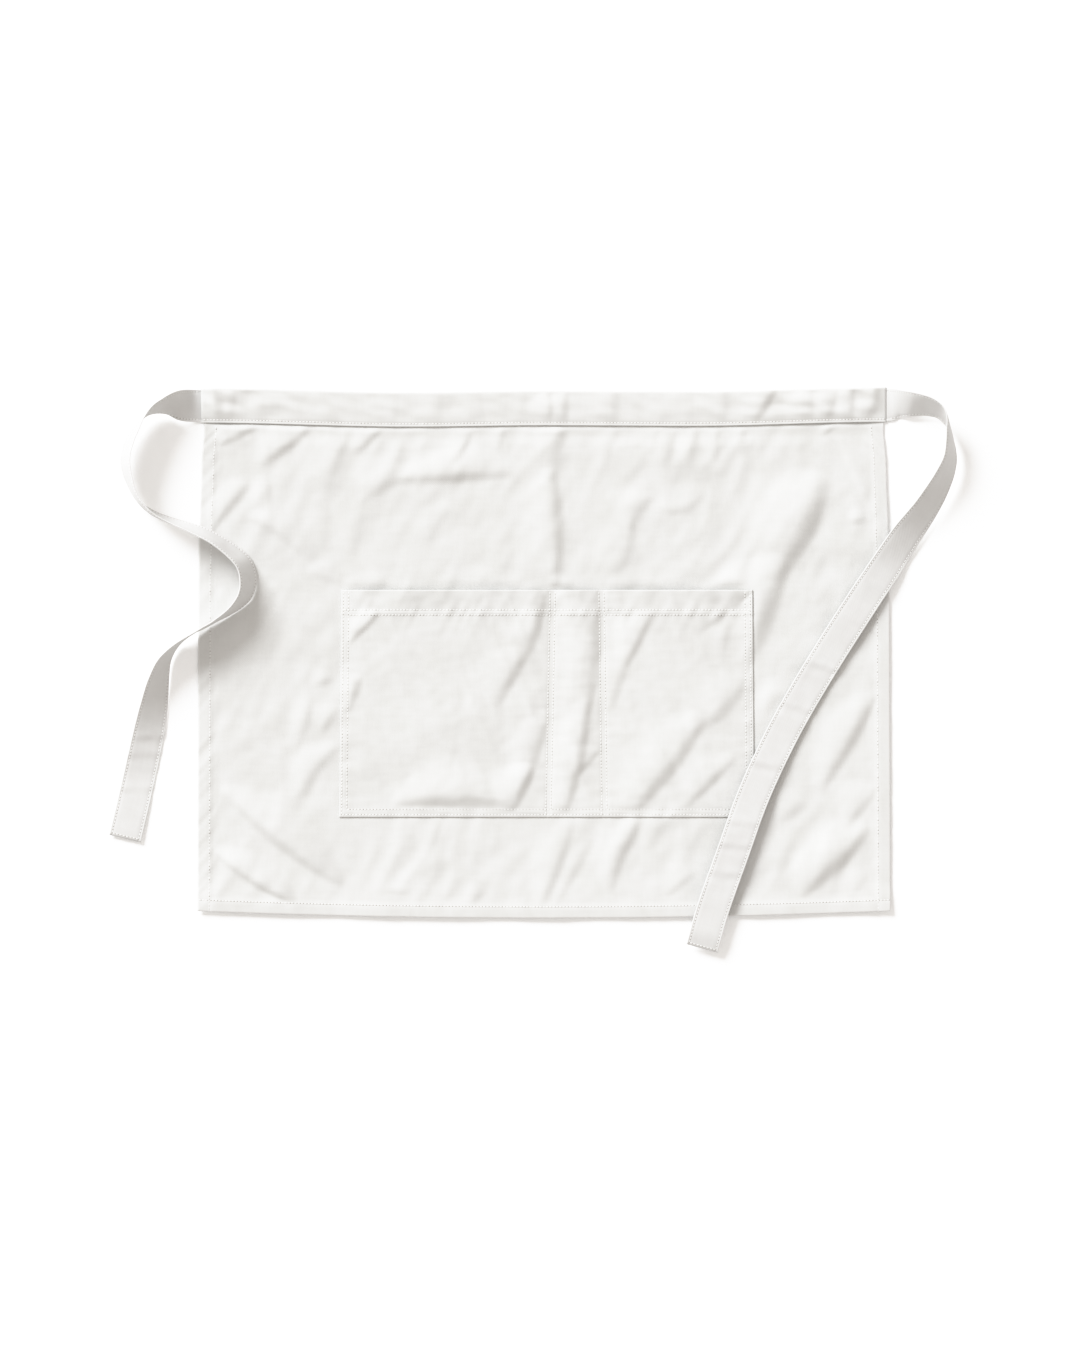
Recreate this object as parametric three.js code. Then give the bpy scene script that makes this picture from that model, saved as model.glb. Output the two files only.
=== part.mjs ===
// A waist apron of white cotton twill, lying face up on a table.
// Millimetres. +Z is up from the table, +Y runs from the hem to the waist, and +X to the right as the
// apron is seen from above. The origin is on the table, under the middle of the front panel.
import * as THREE from "three";

// Cloth
const CLOTH = 1.0; // one layer of twill
const FIT = 0.3; // clearance between pieces that are sewn to each other
const DRAPE = 0.5; // clearance under a tie that lies over creased cloth
const HEM_STEP = 0.9; // what a turned hem adds to the thickness of the panel
const POCKET_HEM_STEP = 0.6; // what the pocket's turned top edge adds to its thickness
const STEP_RUN = 1.2; // width of the slope at the inner edge of a hem
const FOLD_LEAN = 0.3; // how far a fold leans to its steep side, as a share of its half width

// Front panel
const PANEL_WIDTH = 679; // along the waist seam
const PANEL_LENGTH = 488; // waist seam to hem, at the sides
const SIDE_FLARE = 7; // how far each side edge stands out by the hem
const HEM_BOW = 7; // how much lower the hem hangs in the middle
const SEAM_BOW = 4; // how much lower the waist seam hangs away from its ends
const SIDE_HEM = 14;
const BOTTOM_HEM = 13;
const SEAM_TUCK = 9; // depth of the panel's top edge inside the waistband
const SEAM_RAMP = 13; // length over which the panel comes down from the seam to the table
const FOLD_RISE = 3; // height of the panel's strongest fold
const FOLD_WIDTH = 20; // its half width
const PANEL_CELL = 16; // size of the panel's facets

// Patch pocket
const POCKET_WIDTH = 413;
const POCKET_LENGTH = 227;
const POCKET_DROP = 167; // waist seam to the pocket's mouth
const POCKET_SHIFT = 3; // the pocket's middle is this far right of the panel's
const POCKET_FLARE = 2; // how far each side of the pocket stands out by its lower edge
const HAND_POCKET = 209; // width of the left compartment
const PEN_POCKET = 53; // width of the middle compartment
const POCKET_HEM = 23;
const SEW_RIM = 3; // width of the strip that is sewn down along an edge or a divider
const POCKET_GAPE = 5.8; // how high the cloth stands off the panel in a compartment
const POCKET_FOLD_RISE = 2.4;
const POCKET_FOLD_WIDTH = 16;
const COMPARTMENT_COLUMNS = 8;
const POCKET_ROWS = 13;

// Ties and waistband
const TIE_WIDTH = 32.5;
const TIE_THICKNESS = 1.2; // folded cloth, pressed and topstitched
const LEFT_TIE_LENGTH = 600;
const RIGHT_TIE_LENGTH = 660;
const TIE_TUCK = 12; // length of each tie inside the waistband
const TIE_STEP = 11; // distance between two sections of a tie
const STRAP_POINTS = 5; // points across each face of a tie
const SEAM_MARGIN = 0.9; // from the waistband's lower edge to the tie's
const BAND_OVERHANG = 3; // the waistband runs this far past the panel's corners
const BAND_RIPPLE = 1.2; // height of the soft creases across the waistband
const BAND_STATIONS = 44;

// Sizes that follow from those above
const SLOT_FLOOR = CLOTH + FIT;
const SLOT_HEIGHT = Math.max(CLOTH, TIE_THICKNESS) + 2 * FIT;
const BAND_THICKNESS = 2 * CLOTH + SLOT_HEIGHT;
const BAND_HEIGHT = TIE_WIDTH + SEAM_MARGIN + BAND_THICKNESS / 2;
const BAND_HALF = PANEL_WIDTH / 2 + BAND_OVERHANG;
const SEAM_Y = PANEL_LENGTH / 2;
const POCKET_TOP_Y = SEAM_Y - POCKET_DROP;

// How far out the side edge stands, as a share of SIDE_FLARE, at a share of the panel's length
const SIDE_SHAPE = [
  { down: 0, out: 0 },
  { down: 0.09, out: 0.42 },
  { down: 0.22, out: 0.7 },
  { down: 0.34, out: 0.88 },
  { down: 1, out: 1 },
];

// How low the waist seam hangs, as a share of SEAM_BOW, at a share of the panel's width
const SEAM_SHAPE = [
  { across: 0, drop: 0 },
  { across: 0.3, drop: 1 },
  { across: 0.5, drop: 0.65 },
  { across: 0.72, drop: 0.8 },
  { across: 1, drop: -0.2 },
];

// Folds of the panel. Each row is the line down the middle of a fold's steep side, which drops to the left
// of one who walks from the first end to the second. Ends are shares of the panel's width and length, from
// its upper left corner; bend is the bow to the left as a share of the line's own length; rise and width
// are shares of FOLD_RISE and FOLD_WIDTH.
const PANEL_FOLDS = [
  { x1: 0.92, y1: 0.109, x2: 0.843, y2: 0.33, bend: 0.04, rise: 1, width: 1 },
  { x1: 0.86, y1: 0.277, x2: 0.807, y2: 0.494, bend: 0, rise: 0.87, width: 1 },
  { x1: 0.536, y1: -0.01, x2: 0.514, y2: 0.121, bend: -0.04, rise: 0.53, width: 0.65 },
  { x1: 0.514, y1: 0.092, x2: 0.519, y2: 0.33, bend: 0.04, rise: 0.67, width: 0.65 },
  { x1: 0.456, y1: 0.107, x2: 0.285, y2: 0.121, bend: 0, rise: 0.6, width: 0.65 },
  { x1: 0.309, y1: 0.113, x2: 0.229, y2: 0.168, bend: -0.08, rise: 0.4, width: 0.65 },
  { x1: 0.633, y1: 0.195, x2: 0.602, y2: 0.318, bend: 0.1, rise: 0.43, width: 0.65 },
  { x1: 0.739, y1: 0.143, x2: 0.674, y2: 0.184, bend: 0.15, rise: 0.4, width: 0.65 },
  { x1: 0.082, y1: 0.006, x2: 0.02, y2: 0.049, bend: 0, rise: 0.43, width: 0.65 },
  { x1: 0.156, y1: 0.012, x2: 0.082, y2: 0.09, bend: 0.03, rise: 0.53, width: 0.65 },
  { x1: 0.216, y1: 0.012, x2: 0.176, y2: 0.145, bend: 0.03, rise: 0.37, width: 0.65 },
  { x1: 0.069, y1: 0.123, x2: 0.013, y2: 0.217, bend: 0, rise: 0.47, width: 0.65 },
  { x1: 0.159, y1: 0.293, x2: 0.061, y2: 0.193, bend: -0.06, rise: 0.3, width: 0.65 },
  { x1: 0.973, y1: 0.162, x2: 0.93, y2: 0.027, bend: 0, rise: 0.3, width: 0.65 },
  { x1: 0.198, y1: 0.662, x2: 0.148, y2: 0.768, bend: -0.06, rise: 0.43, width: 0.65 },
  { x1: 0.2, y1: 0.949, x2: 0.022, y2: 0.75, bend: 0.04, rise: 0.47, width: 0.65 },
  { x1: 0.132, y1: 0.984, x2: 0.013, y2: 0.879, bend: 0.05, rise: 0.47, width: 0.65 },
  { x1: 0.546, y1: 0.807, x2: 0.497, y2: 0.992, bend: 0.03, rise: 0.47, width: 0.65 },
  { x1: 0.645, y1: 0.809, x2: 0.599, y2: 0.967, bend: -0.04, rise: 0.53, width: 0.65 },
  { x1: 0.991, y1: 0.553, x2: 0.907, y2: 0.76, bend: 0.02, rise: 0.6, width: 0.65 },
  { x1: 0.982, y1: 0.83, x2: 0.877, y2: 0.975, bend: 0.03, rise: 0.77, width: 0.65 },
];

// Folds of the pocket, in the same way, as shares of the pocket's width and length
const POCKET_FOLDS = [
  { x1: 0.622, y1: 0.004, x2: 0.6, y2: 0.564, bend: 0, rise: 0.75, width: 0.75 },
  { x1: 0.454, y1: 0.264, x2: 0.379, y2: 0.52, bend: 0, rise: 0.62, width: 0.75 },
  { x1: 0.471, y1: 0.775, x2: 0.416, y2: 0.987, bend: 0, rise: 0.75, width: 0.75 },
  { x1: 0.76, y1: 0.093, x2: 0.694, y2: 0.344, bend: 0, rise: 0.54, width: 0.75 },
  { x1: 0.994, y1: 0.392, x2: 0.852, y2: 0.648, bend: 0.05, rise: 0.67, width: 0.75 },
  { x1: 0.885, y1: 0.559, x2: 0.701, y2: 0.991, bend: 0.04, rise: 1, width: 0.81 },
];

// Soft creases across the waistband: place along it, height as a share of BAND_RIPPLE, half width as a
// share of the waistband's height
const BAND_CREASES = [
  { across: 0.1, rise: 0.5, width: 0.5 },
  { across: 0.26, rise: 0.7, width: 0.6 },
  { across: 0.41, rise: 0.9, width: 0.5 },
  { across: 0.52, rise: 1.0, width: 0.45 },
  { across: 0.66, rise: 0.7, width: 0.6 },
  { across: 0.79, rise: 0.6, width: 0.5 },
  { across: 0.92, rise: 0.8, width: 0.45 },
];

// The route of each tie, as the middle of the strap passes it. out runs sideways from the end of the
// waistband and down towards the hem, both as shares of that tie's length. roll is how far the strap has
// turned about its own run in degrees, from 0 with its face up over 90 on its edge to 180 with its back up.
// curl is how much its section bends between its edges, in degrees. lift is how high its lower edge stands
// off what is under it, as a share of TIE_WIDTH.
const LEFT_ROUTE = [
  { out: 0.0, down: 0.0, roll: 0, curl: 0, lift: 0.04 },
  { out: 0.031, down: 0.0, roll: 34, curl: 0, lift: 0.05 },
  { out: 0.056, down: 0.001, roll: 58, curl: 0, lift: 0.1 },
  { out: 0.074, down: 0.006, roll: 74, curl: 0, lift: 0.16 },
  { out: 0.089, down: 0.016, roll: 89, curl: 0, lift: 0.22 },
  { out: 0.104, down: 0.035, roll: 101, curl: 0, lift: 0.28 },
  { out: 0.119, down: 0.063, roll: 108, curl: 0, lift: 0.32 },
  { out: 0.125, down: 0.093, roll: 109, curl: 0, lift: 0.34 },
  { out: 0.12, down: 0.124, roll: 105, curl: 10, lift: 0.33 },
  { out: 0.11, down: 0.152, roll: 97, curl: 35, lift: 0.3 },
  { out: 0.089, down: 0.177, roll: 88, curl: 55, lift: 0.24 },
  { out: 0.056, down: 0.193, roll: 80, curl: 40, lift: 0.17 },
  { out: 0.018, down: 0.205, roll: 73, curl: 20, lift: 0.1 },
  { out: -0.019, down: 0.22, roll: 69, curl: 0, lift: 0.04 },
  { out: -0.05, down: 0.241, roll: 65, curl: 0, lift: 0.0 },
  { out: -0.072, down: 0.264, roll: 60, curl: 0, lift: 0.0 },
  { out: -0.079, down: 0.291, roll: 60, curl: 0, lift: 0.0 },
  { out: -0.074, down: 0.316, roll: 66, curl: 0, lift: 0.0 },
  { out: -0.054, down: 0.339, roll: 79, curl: 0, lift: 0.0 },
  { out: -0.023, down: 0.36, roll: 88, curl: 0, lift: 0.03 },
  { out: 0.011, down: 0.379, roll: 90, curl: 0, lift: 0.08 },
  { out: 0.034, down: 0.394, roll: 87, curl: 0, lift: 0.08 },
  { out: 0.05, down: 0.41, roll: 79, curl: 0, lift: 0.06 },
  { out: 0.062, down: 0.43, roll: 66, curl: 0, lift: 0.03 },
  { out: 0.071, down: 0.461, roll: 50, curl: 0, lift: 0.0 },
  { out: 0.078, down: 0.5, roll: 33, curl: 0, lift: 0.0 },
  { out: 0.087, down: 0.545, roll: 16, curl: 0, lift: 0.0 },
  { out: 0.099, down: 0.6, roll: 4, curl: 0, lift: 0.0 },
  { out: 0.112, down: 0.657, roll: 0, curl: 0, lift: 0.0 },
  { out: 0.127, down: 0.721, roll: 0, curl: 0, lift: 0.0 },
];
const RIGHT_ROUTE = [
  { out: 0.0, down: 0.0, roll: 0, curl: 0, lift: 0.04 },
  { out: 0.022, down: -0.001, roll: 32, curl: 0, lift: 0.05 },
  { out: 0.043, down: 0.0, roll: 44, curl: 0, lift: 0.08 },
  { out: 0.064, down: 0.002, roll: 55, curl: 12, lift: 0.12 },
  { out: 0.081, down: 0.009, roll: 67, curl: 32, lift: 0.15 },
  { out: 0.0915, down: 0.022, roll: 82, curl: 55, lift: 0.18 },
  { out: 0.0965, down: 0.038, roll: 97, curl: 50, lift: 0.2 },
  { out: 0.098, down: 0.059, roll: 108, curl: 25, lift: 0.2 },
  { out: 0.096, down: 0.084, roll: 118, curl: 10, lift: 0.18 },
  { out: 0.083, down: 0.116, roll: 130, curl: 0, lift: 0.14 },
  { out: 0.06, down: 0.156, roll: 142, curl: 0, lift: 0.08 },
  { out: 0.031, down: 0.196, roll: 158, curl: 0, lift: 0.03 },
  { out: -0.002, down: 0.246, roll: 172, curl: 0, lift: 0.0 },
  { out: -0.036, down: 0.297, roll: 180, curl: 0, lift: 0.0 },
  { out: -0.111, down: 0.416, roll: 180, curl: 0, lift: 0.0 },
  { out: -0.158, down: 0.499, roll: 180, curl: 0, lift: 0.0 },
  { out: -0.202, down: 0.593, roll: 180, curl: 0, lift: 0.0 },
  { out: -0.232, down: 0.676, roll: 180, curl: 0, lift: 0.0 },
  { out: -0.265, down: 0.77, roll: 180, curl: 0, lift: 0.0 },
  { out: -0.2795, down: 0.823, roll: 180, curl: 0, lift: 0.0 },
];

// Plain helpers

const lerp = THREE.MathUtils.lerp;
const clamp = THREE.MathUtils.clamp;
const smooth = (value, low, high) => THREE.MathUtils.smoothstep(value, low, high);

// The value of a table's column where its key column reaches at, with level tangents at the rows.
function readTable(table, key, column, at) {
  const last = table.length - 1;
  if (at <= table[0][key]) {
    return table[0][column];
  }
  for (let i = 0; i < last; i += 1) {
    const a = table[i];
    const b = table[i + 1];
    if (at <= b[key]) {
      return lerp(a[column], b[column], smooth(at, a[key], b[key]));
    }
  }
  return table[last][column];
}

// Height of a list of folds at a place, in shares of the piece that they lie on.
function foldHeight(folds, across, down, width, length, rise, halfWidth) {
  const steepest = 1 / Math.sqrt(3); // where the profile drops fastest, from crest to foot
  let height = 0;
  for (const fold of folds) {
    const startX = fold.x1 * width;
    const startY = fold.y1 * length;
    const runX = fold.x2 * width - startX;
    const runY = fold.y2 * length - startY;
    const run = Math.hypot(runX, runY);
    const offX = across * width - startX;
    const offY = down * length - startY;
    const along = (offX * runX + offY * runY) / (run * run);
    if (along <= 0 || along >= 1) {
      continue;
    }
    const bow = fold.bend * run * Math.sin(Math.PI * along);
    const steepSide = fold.width * halfWidth * (1 - FOLD_LEAN);
    const broadSide = fold.width * halfWidth * (1 + FOLD_LEAN);
    const aside = (offX * runY - offY * runX) / run - bow + steepest * steepSide;
    const share = aside / (aside > 0 ? steepSide : broadSide);
    if (Math.abs(share) < 1) {
      const ridge = (1 - share * share) ** 2;
      height += fold.rise * rise * ridge * Math.sin(Math.PI * along) ** 0.7;
    }
  }
  return height;
}

// A closed sheet from two grids of points with the same rows and columns, one over the other.
function closedSheet(top, bottom) {
  const rows = top.length;
  const columns = top[0].length;
  const positions = [];
  for (const grid of [top, bottom]) {
    for (const row of grid) {
      for (const point of row) {
        positions.push(point.x, point.y, point.z);
      }
    }
  }
  const upper = (r, c) => r * columns + c;
  const lower = (r, c) => rows * columns + r * columns + c;
  const faces = [];
  const quad = (a, b, c, d) => faces.push(a, b, c, a, c, d);
  for (let r = 0; r + 1 < rows; r += 1) {
    for (let c = 0; c + 1 < columns; c += 1) {
      quad(upper(r, c), upper(r + 1, c), upper(r + 1, c + 1), upper(r, c + 1));
      quad(lower(r, c), lower(r, c + 1), lower(r + 1, c + 1), lower(r + 1, c));
    }
  }
  for (let r = 0; r + 1 < rows; r += 1) {
    quad(upper(r, 0), lower(r, 0), lower(r + 1, 0), upper(r + 1, 0));
    const last = columns - 1;
    quad(upper(r + 1, last), lower(r + 1, last), lower(r, last), upper(r, last));
  }
  for (let c = 0; c + 1 < columns; c += 1) {
    quad(upper(0, c + 1), lower(0, c + 1), lower(0, c), upper(0, c));
    quad(upper(rows - 1, c), lower(rows - 1, c), lower(rows - 1, c + 1), upper(rows - 1, c + 1));
  }
  return geometryFrom(positions, faces);
}

// A closed body lofted through sections with the same number of points. caps lists the triangles that
// close a section, as indices of its points.
function loft(sections, caps) {
  const count = sections[0].length;
  const positions = [];
  for (const section of sections) {
    for (const point of section) {
      positions.push(point.x, point.y, point.z);
    }
  }
  const faces = [];
  for (let s = 0; s + 1 < sections.length; s += 1) {
    for (let i = 0; i < count; i += 1) {
      const a = s * count + i;
      const b = s * count + ((i + 1) % count);
      faces.push(a, b, b + count, a, b + count, a + count);
    }
  }
  const lastStart = (sections.length - 1) * count;
  for (const [a, b, c] of caps) {
    faces.push(a, c, b);
    faces.push(lastStart + a, lastStart + b, lastStart + c);
  }
  return geometryFrom(positions, faces);
}

// A geometry whose faces point out, whichever way the faces were listed.
function geometryFrom(positions, faces) {
  const corner = (index) => new THREE.Vector3().fromArray(positions, 3 * index);
  let volume = 0;
  for (let i = 0; i < faces.length; i += 3) {
    const [a, b, c] = [corner(faces[i]), corner(faces[i + 1]), corner(faces[i + 2])];
    volume += a.dot(b.cross(c));
  }
  if (volume < 0) {
    faces.reverse();
  }
  const geometry = new THREE.BufferGeometry();
  geometry.setAttribute("position", new THREE.Float32BufferAttribute(positions, 3));
  geometry.setIndex(faces);
  geometry.computeVertexNormals();
  return geometry;
}

function evenSteps(from, to, count) {
  return Array.from({ length: count + 1 }, (_, i) => lerp(from, to, i / count));
}

// Front panel

function seamLine(x) {
  const across = x / PANEL_WIDTH + 0.5;
  return SEAM_Y - SEAM_BOW * readTable(SEAM_SHAPE, "across", "drop", across);
}

function hemLine(x) {
  const across = clamp(x / (PANEL_WIDTH + 2 * SIDE_FLARE) + 0.5, 0, 1);
  return -SEAM_Y - HEM_BOW * 4 * across * (1 - across);
}

function halfWidthAt(y) {
  const down = (SEAM_Y - y) / PANEL_LENGTH;
  return PANEL_WIDTH / 2 + SIDE_FLARE * readTable(SIDE_SHAPE, "down", "out", down);
}

// How far the underside of the panel stands off the table.
function panelLift(x, y) {
  const belowSeam = seamLine(x) - y;
  const ramp = SLOT_FLOOR * (1 - smooth(belowSeam, 0, SEAM_RAMP));
  const across = x / PANEL_WIDTH + 0.5;
  const down = (SEAM_Y - y) / PANEL_LENGTH;
  const folds = foldHeight(PANEL_FOLDS, across, down, PANEL_WIDTH, PANEL_LENGTH, FOLD_RISE, FOLD_WIDTH);
  return ramp + folds * smooth(belowSeam, 0, SEAM_RAMP) * (1 - underPocket(x, y));
}

// 1 where the pocket covers the panel, fading to 0 a fold's width outside it.
function underPocket(x, y) {
  const aside = Math.abs(x - POCKET_SHIFT) - (POCKET_WIDTH / 2 + POCKET_FLARE);
  const above = y - (POCKET_TOP_Y + POCKET_FLARE);
  const below = POCKET_TOP_Y - POCKET_LENGTH - POCKET_FLARE - y;
  return 1 - smooth(Math.max(aside, above, below), 0, FOLD_WIDTH / 2);
}

function panelTop(x, y) {
  const fromSide = halfWidthAt(y) - Math.abs(x);
  const fromHem = y - hemLine(x);
  const side = 1 - clamp((fromSide - SIDE_HEM) / STEP_RUN + 0.5, 0, 1);
  const bottom = 1 - clamp((fromHem - BOTTOM_HEM) / STEP_RUN + 0.5, 0, 1);
  const inBand = y > seamLine(x) - SEAM_RAMP ? smooth(seamLine(x) - y, 0, SEAM_RAMP) : 1;
  return panelLift(x, y) + CLOTH + HEM_STEP * (side * inBand + bottom);
}

// Distances that split a stretch into parts of about one cell of the panel.
function cells(from, to) {
  return evenSteps(from, to, Math.max(1, Math.round(Math.abs(to - from) / PANEL_CELL)));
}

function buildPanel() {
  const flatHalf = PANEL_WIDTH / 2;
  const innerHem = flatHalf - SIDE_HEM - STEP_RUN / 2;
  const outerHem = flatHalf - SIDE_HEM + STEP_RUN / 2;
  // Columns run beside the pocket's edges, so that the panel is flat right up to them.
  const pocketSide = POCKET_WIDTH / 2 + POCKET_FLARE;
  const narrowing = flatHalf / halfWidthAt(POCKET_TOP_Y);
  const leftOfPocket = (POCKET_SHIFT - pocketSide) * narrowing;
  const rightOfPocket = (POCKET_SHIFT + pocketSide) * narrowing;
  const columns = [
    -flatHalf,
    -outerHem,
    ...cells(-innerHem, leftOfPocket),
    ...cells(leftOfPocket, rightOfPocket).slice(1),
    ...cells(rightOfPocket, innerHem).slice(1),
    outerHem,
    flatHalf,
  ];
  const top = [];
  const bottom = [];
  const addRow = (placeOf) => {
    const places = columns.map((column) => placeOf(column / flatHalf));
    top.push(places.map(({ x, y }) => ({ x, y, z: panelTop(x, y) })));
    bottom.push(places.map(({ x, y }) => ({ x, y, z: panelLift(x, y) })));
  };
  // Above the waist seam the panel is cut back at both ends, where the ties sit in the waistband.
  const tuckedHalf = BAND_HALF - TIE_TUCK - FIT;
  const tuckedRows = [
    { above: SEAM_TUCK, half: tuckedHalf },
    { above: SEAM_MARGIN / 2, half: tuckedHalf },
    { above: SEAM_MARGIN / 5, half: flatHalf },
  ];
  for (const row of tuckedRows) {
    addRow((share) => ({ x: share * row.half, y: seamLine(share * row.half) + row.above }));
  }
  // Below it the rows fill the stretches between five lines across the panel.
  const lines = [
    (x) => seamLine(x) - SEAM_RAMP / 3,
    (x) => seamLine(x) - SEAM_RAMP,
    () => POCKET_TOP_Y + POCKET_FLARE,
    () => POCKET_TOP_Y - POCKET_LENGTH - POCKET_FLARE,
    (x) => hemLine(x) + BOTTOM_HEM + STEP_RUN / 2,
    (x) => hemLine(x) + BOTTOM_HEM - STEP_RUN / 2,
    (x) => hemLine(x),
  ];
  addRow((share) => placeOnPanel(share, lines[0]));
  for (let i = 0; i + 1 < lines.length; i += 1) {
    for (const down of cells(0, lines[i](0) - lines[i + 1](0)).slice(1)) {
      const part = down / (lines[i](0) - lines[i + 1](0));
      addRow((share) => placeOnPanel(share, (x) => lerp(lines[i](x), lines[i + 1](x), part)));
    }
  }
  return closedSheet(top, bottom);
}

// The place where a line across the panel passes a share of its half width.
function placeOnPanel(share, line) {
  const roughX = share * halfWidthAt(line(0));
  const x = share * halfWidthAt(line(roughX));
  return { x, y: line(x) };
}

// Patch pocket

const pocketHalfAt = (down) => POCKET_WIDTH / 2 + POCKET_FLARE * (2 * down - 1) / 2;

// The compartments between the sewn lines across the pocket, measured from its left edge.
const DIVIDER_1 = HAND_POCKET;
const DIVIDER_2 = HAND_POCKET + PEN_POCKET;
const COMPARTMENTS = [
  { low: SEW_RIM, high: DIVIDER_1 - SEW_RIM / 2 },
  { low: DIVIDER_1 + SEW_RIM / 2, high: DIVIDER_2 - SEW_RIM / 2 },
  { low: DIVIDER_2 + SEW_RIM / 2, high: POCKET_WIDTH - SEW_RIM },
];

// How high the pocket's inner face stands over the panel, at a distance from its left edge and mouth.
function pocketRise(fromLeft, fromMouth) {
  let gape = 0;
  for (const { low, high } of COMPARTMENTS) {
    const share = (2 * (fromLeft - low)) / (high - low) - 1;
    gape += POCKET_GAPE * Math.max(0, 1 - share ** 4);
  }
  const fromBottom = POCKET_LENGTH - fromMouth;
  const open = smooth(fromBottom, SEW_RIM, POCKET_LENGTH / 2);
  const folds = foldHeight(
    POCKET_FOLDS, fromLeft / POCKET_WIDTH, fromMouth / POCKET_LENGTH,
    POCKET_WIDTH, POCKET_LENGTH, POCKET_FOLD_RISE, POCKET_FOLD_WIDTH,
  );
  const sewn = smooth(Math.min(fromLeft, POCKET_WIDTH - fromLeft, fromBottom), SEW_RIM, 4 * SEW_RIM);
  return gape * open + folds * sewn;
}

function pocketUnderside(x, y) {
  const down = (POCKET_TOP_Y - y) / POCKET_LENGTH;
  const share = (x - POCKET_SHIFT) / pocketHalfAt(down);
  const fromLeft = ((share + 1) / 2) * POCKET_WIDTH;
  return panelTop(x, y) + FIT + pocketRise(fromLeft, down * POCKET_LENGTH);
}

function pocketThickness(fromMouth) {
  return CLOTH + POCKET_HEM_STEP * (1 - clamp((fromMouth - POCKET_HEM) / STEP_RUN + 0.5, 0, 1));
}

function buildPocket() {
  const filled = COMPARTMENTS.flatMap(({ low, high }) => evenSteps(low, high, COMPARTMENT_COLUMNS));
  const columns = [0, ...filled, POCKET_WIDTH];
  const rows = [
    0,
    POCKET_HEM - STEP_RUN / 2,
    ...evenSteps(POCKET_HEM + STEP_RUN / 2, POCKET_LENGTH - SEW_RIM, POCKET_ROWS),
    POCKET_LENGTH,
  ];
  const top = [];
  const bottom = [];
  for (const fromMouth of rows) {
    const half = pocketHalfAt(fromMouth / POCKET_LENGTH);
    const y = POCKET_TOP_Y - fromMouth;
    const places = columns.map((column) => POCKET_SHIFT + half * ((2 * column) / POCKET_WIDTH - 1));
    bottom.push(places.map((x) => ({ x, y, z: pocketUnderside(x, y) })));
    top.push(bottom.at(-1).map(({ x, z }) => ({ x, y, z: z + pocketThickness(fromMouth) })));
  }
  return closedSheet(top, bottom);
}

// Waistband

// The folded strip's section, from its lower edge (0) to its fold: x is up the waistband, y off the table.
function bandSection(ripple) {
  const thickness = BAND_THICKNESS + ripple;
  const radius = BAND_THICKNESS / 2;
  const foldAt = BAND_HEIGHT - radius;
  const points = [[0, 0], [foldAt, 0]];
  for (const angle of [-54, -18, 18, 54]) {
    const radians = THREE.MathUtils.degToRad(angle);
    points.push([foldAt + radius * Math.cos(radians), (thickness / 2) * (1 + Math.sin(radians))]);
  }
  points.push([foldAt, thickness], [0, thickness]);
  points.push([0, thickness - CLOTH], [foldAt, thickness - CLOTH]);
  points.push([foldAt + radius - CLOTH, thickness / 2], [foldAt, CLOTH], [0, CLOTH]);
  return points.map(([up, off]) => new THREE.Vector2(up, off));
}

function bandRipple(x) {
  let ripple = 0;
  for (const crease of BAND_CREASES) {
    const share = (x - (crease.across - 0.5) * PANEL_WIDTH) / (crease.width * BAND_HEIGHT);
    if (Math.abs(share) < 1) {
      ripple += crease.rise * BAND_RIPPLE * (1 - share * share) ** 2;
    }
  }
  return ripple;
}

function buildWaistband() {
  const sections = evenSteps(-BAND_HALF, BAND_HALF, BAND_STATIONS).map((x) =>
    bandSection(bandRipple(x)).map((point) => new THREE.Vector3(x, seamLine(x) + point.x, point.y)));
  return loft(sections, THREE.ShapeUtils.triangulateShape(bandSection(0), []));
}

// Ties

// The height that a strap has to clear at a place: the table, the panel or the pocket.
function supportHeight(x, y) {
  let height = 0;
  const besidePanel = Math.abs(x) - halfWidthAt(y);
  if (besidePanel < FIT && y > hemLine(x) - FIT && y < seamLine(x)) {
    height = panelTop(x, y) + DRAPE;
  }
  const down = (POCKET_TOP_Y - y) / POCKET_LENGTH;
  const besidePocket = Math.abs(x - POCKET_SHIFT) - pocketHalfAt(down);
  const fromMouth = clamp(POCKET_TOP_Y - y, 0, POCKET_LENGTH);
  const pastPocket = Math.abs(POCKET_TOP_Y - y - fromMouth);
  if (besidePocket < FIT && pastPocket < FIT) {
    const half = pocketHalfAt(down);
    const insideX = POCKET_SHIFT + clamp(x - POCKET_SHIFT, -half, half);
    const surface = pocketUnderside(insideX, POCKET_TOP_Y - fromMouth) + pocketThickness(fromMouth);
    height = Math.max(height, surface + DRAPE);
  }
  return height;
}

// Chord of an arc as a share of its length, for half the angle that it turns through.
const chordShare = (halfAngle) => (halfAngle === 0 ? 1 : Math.sin(halfAngle) / halfAngle);

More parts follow.
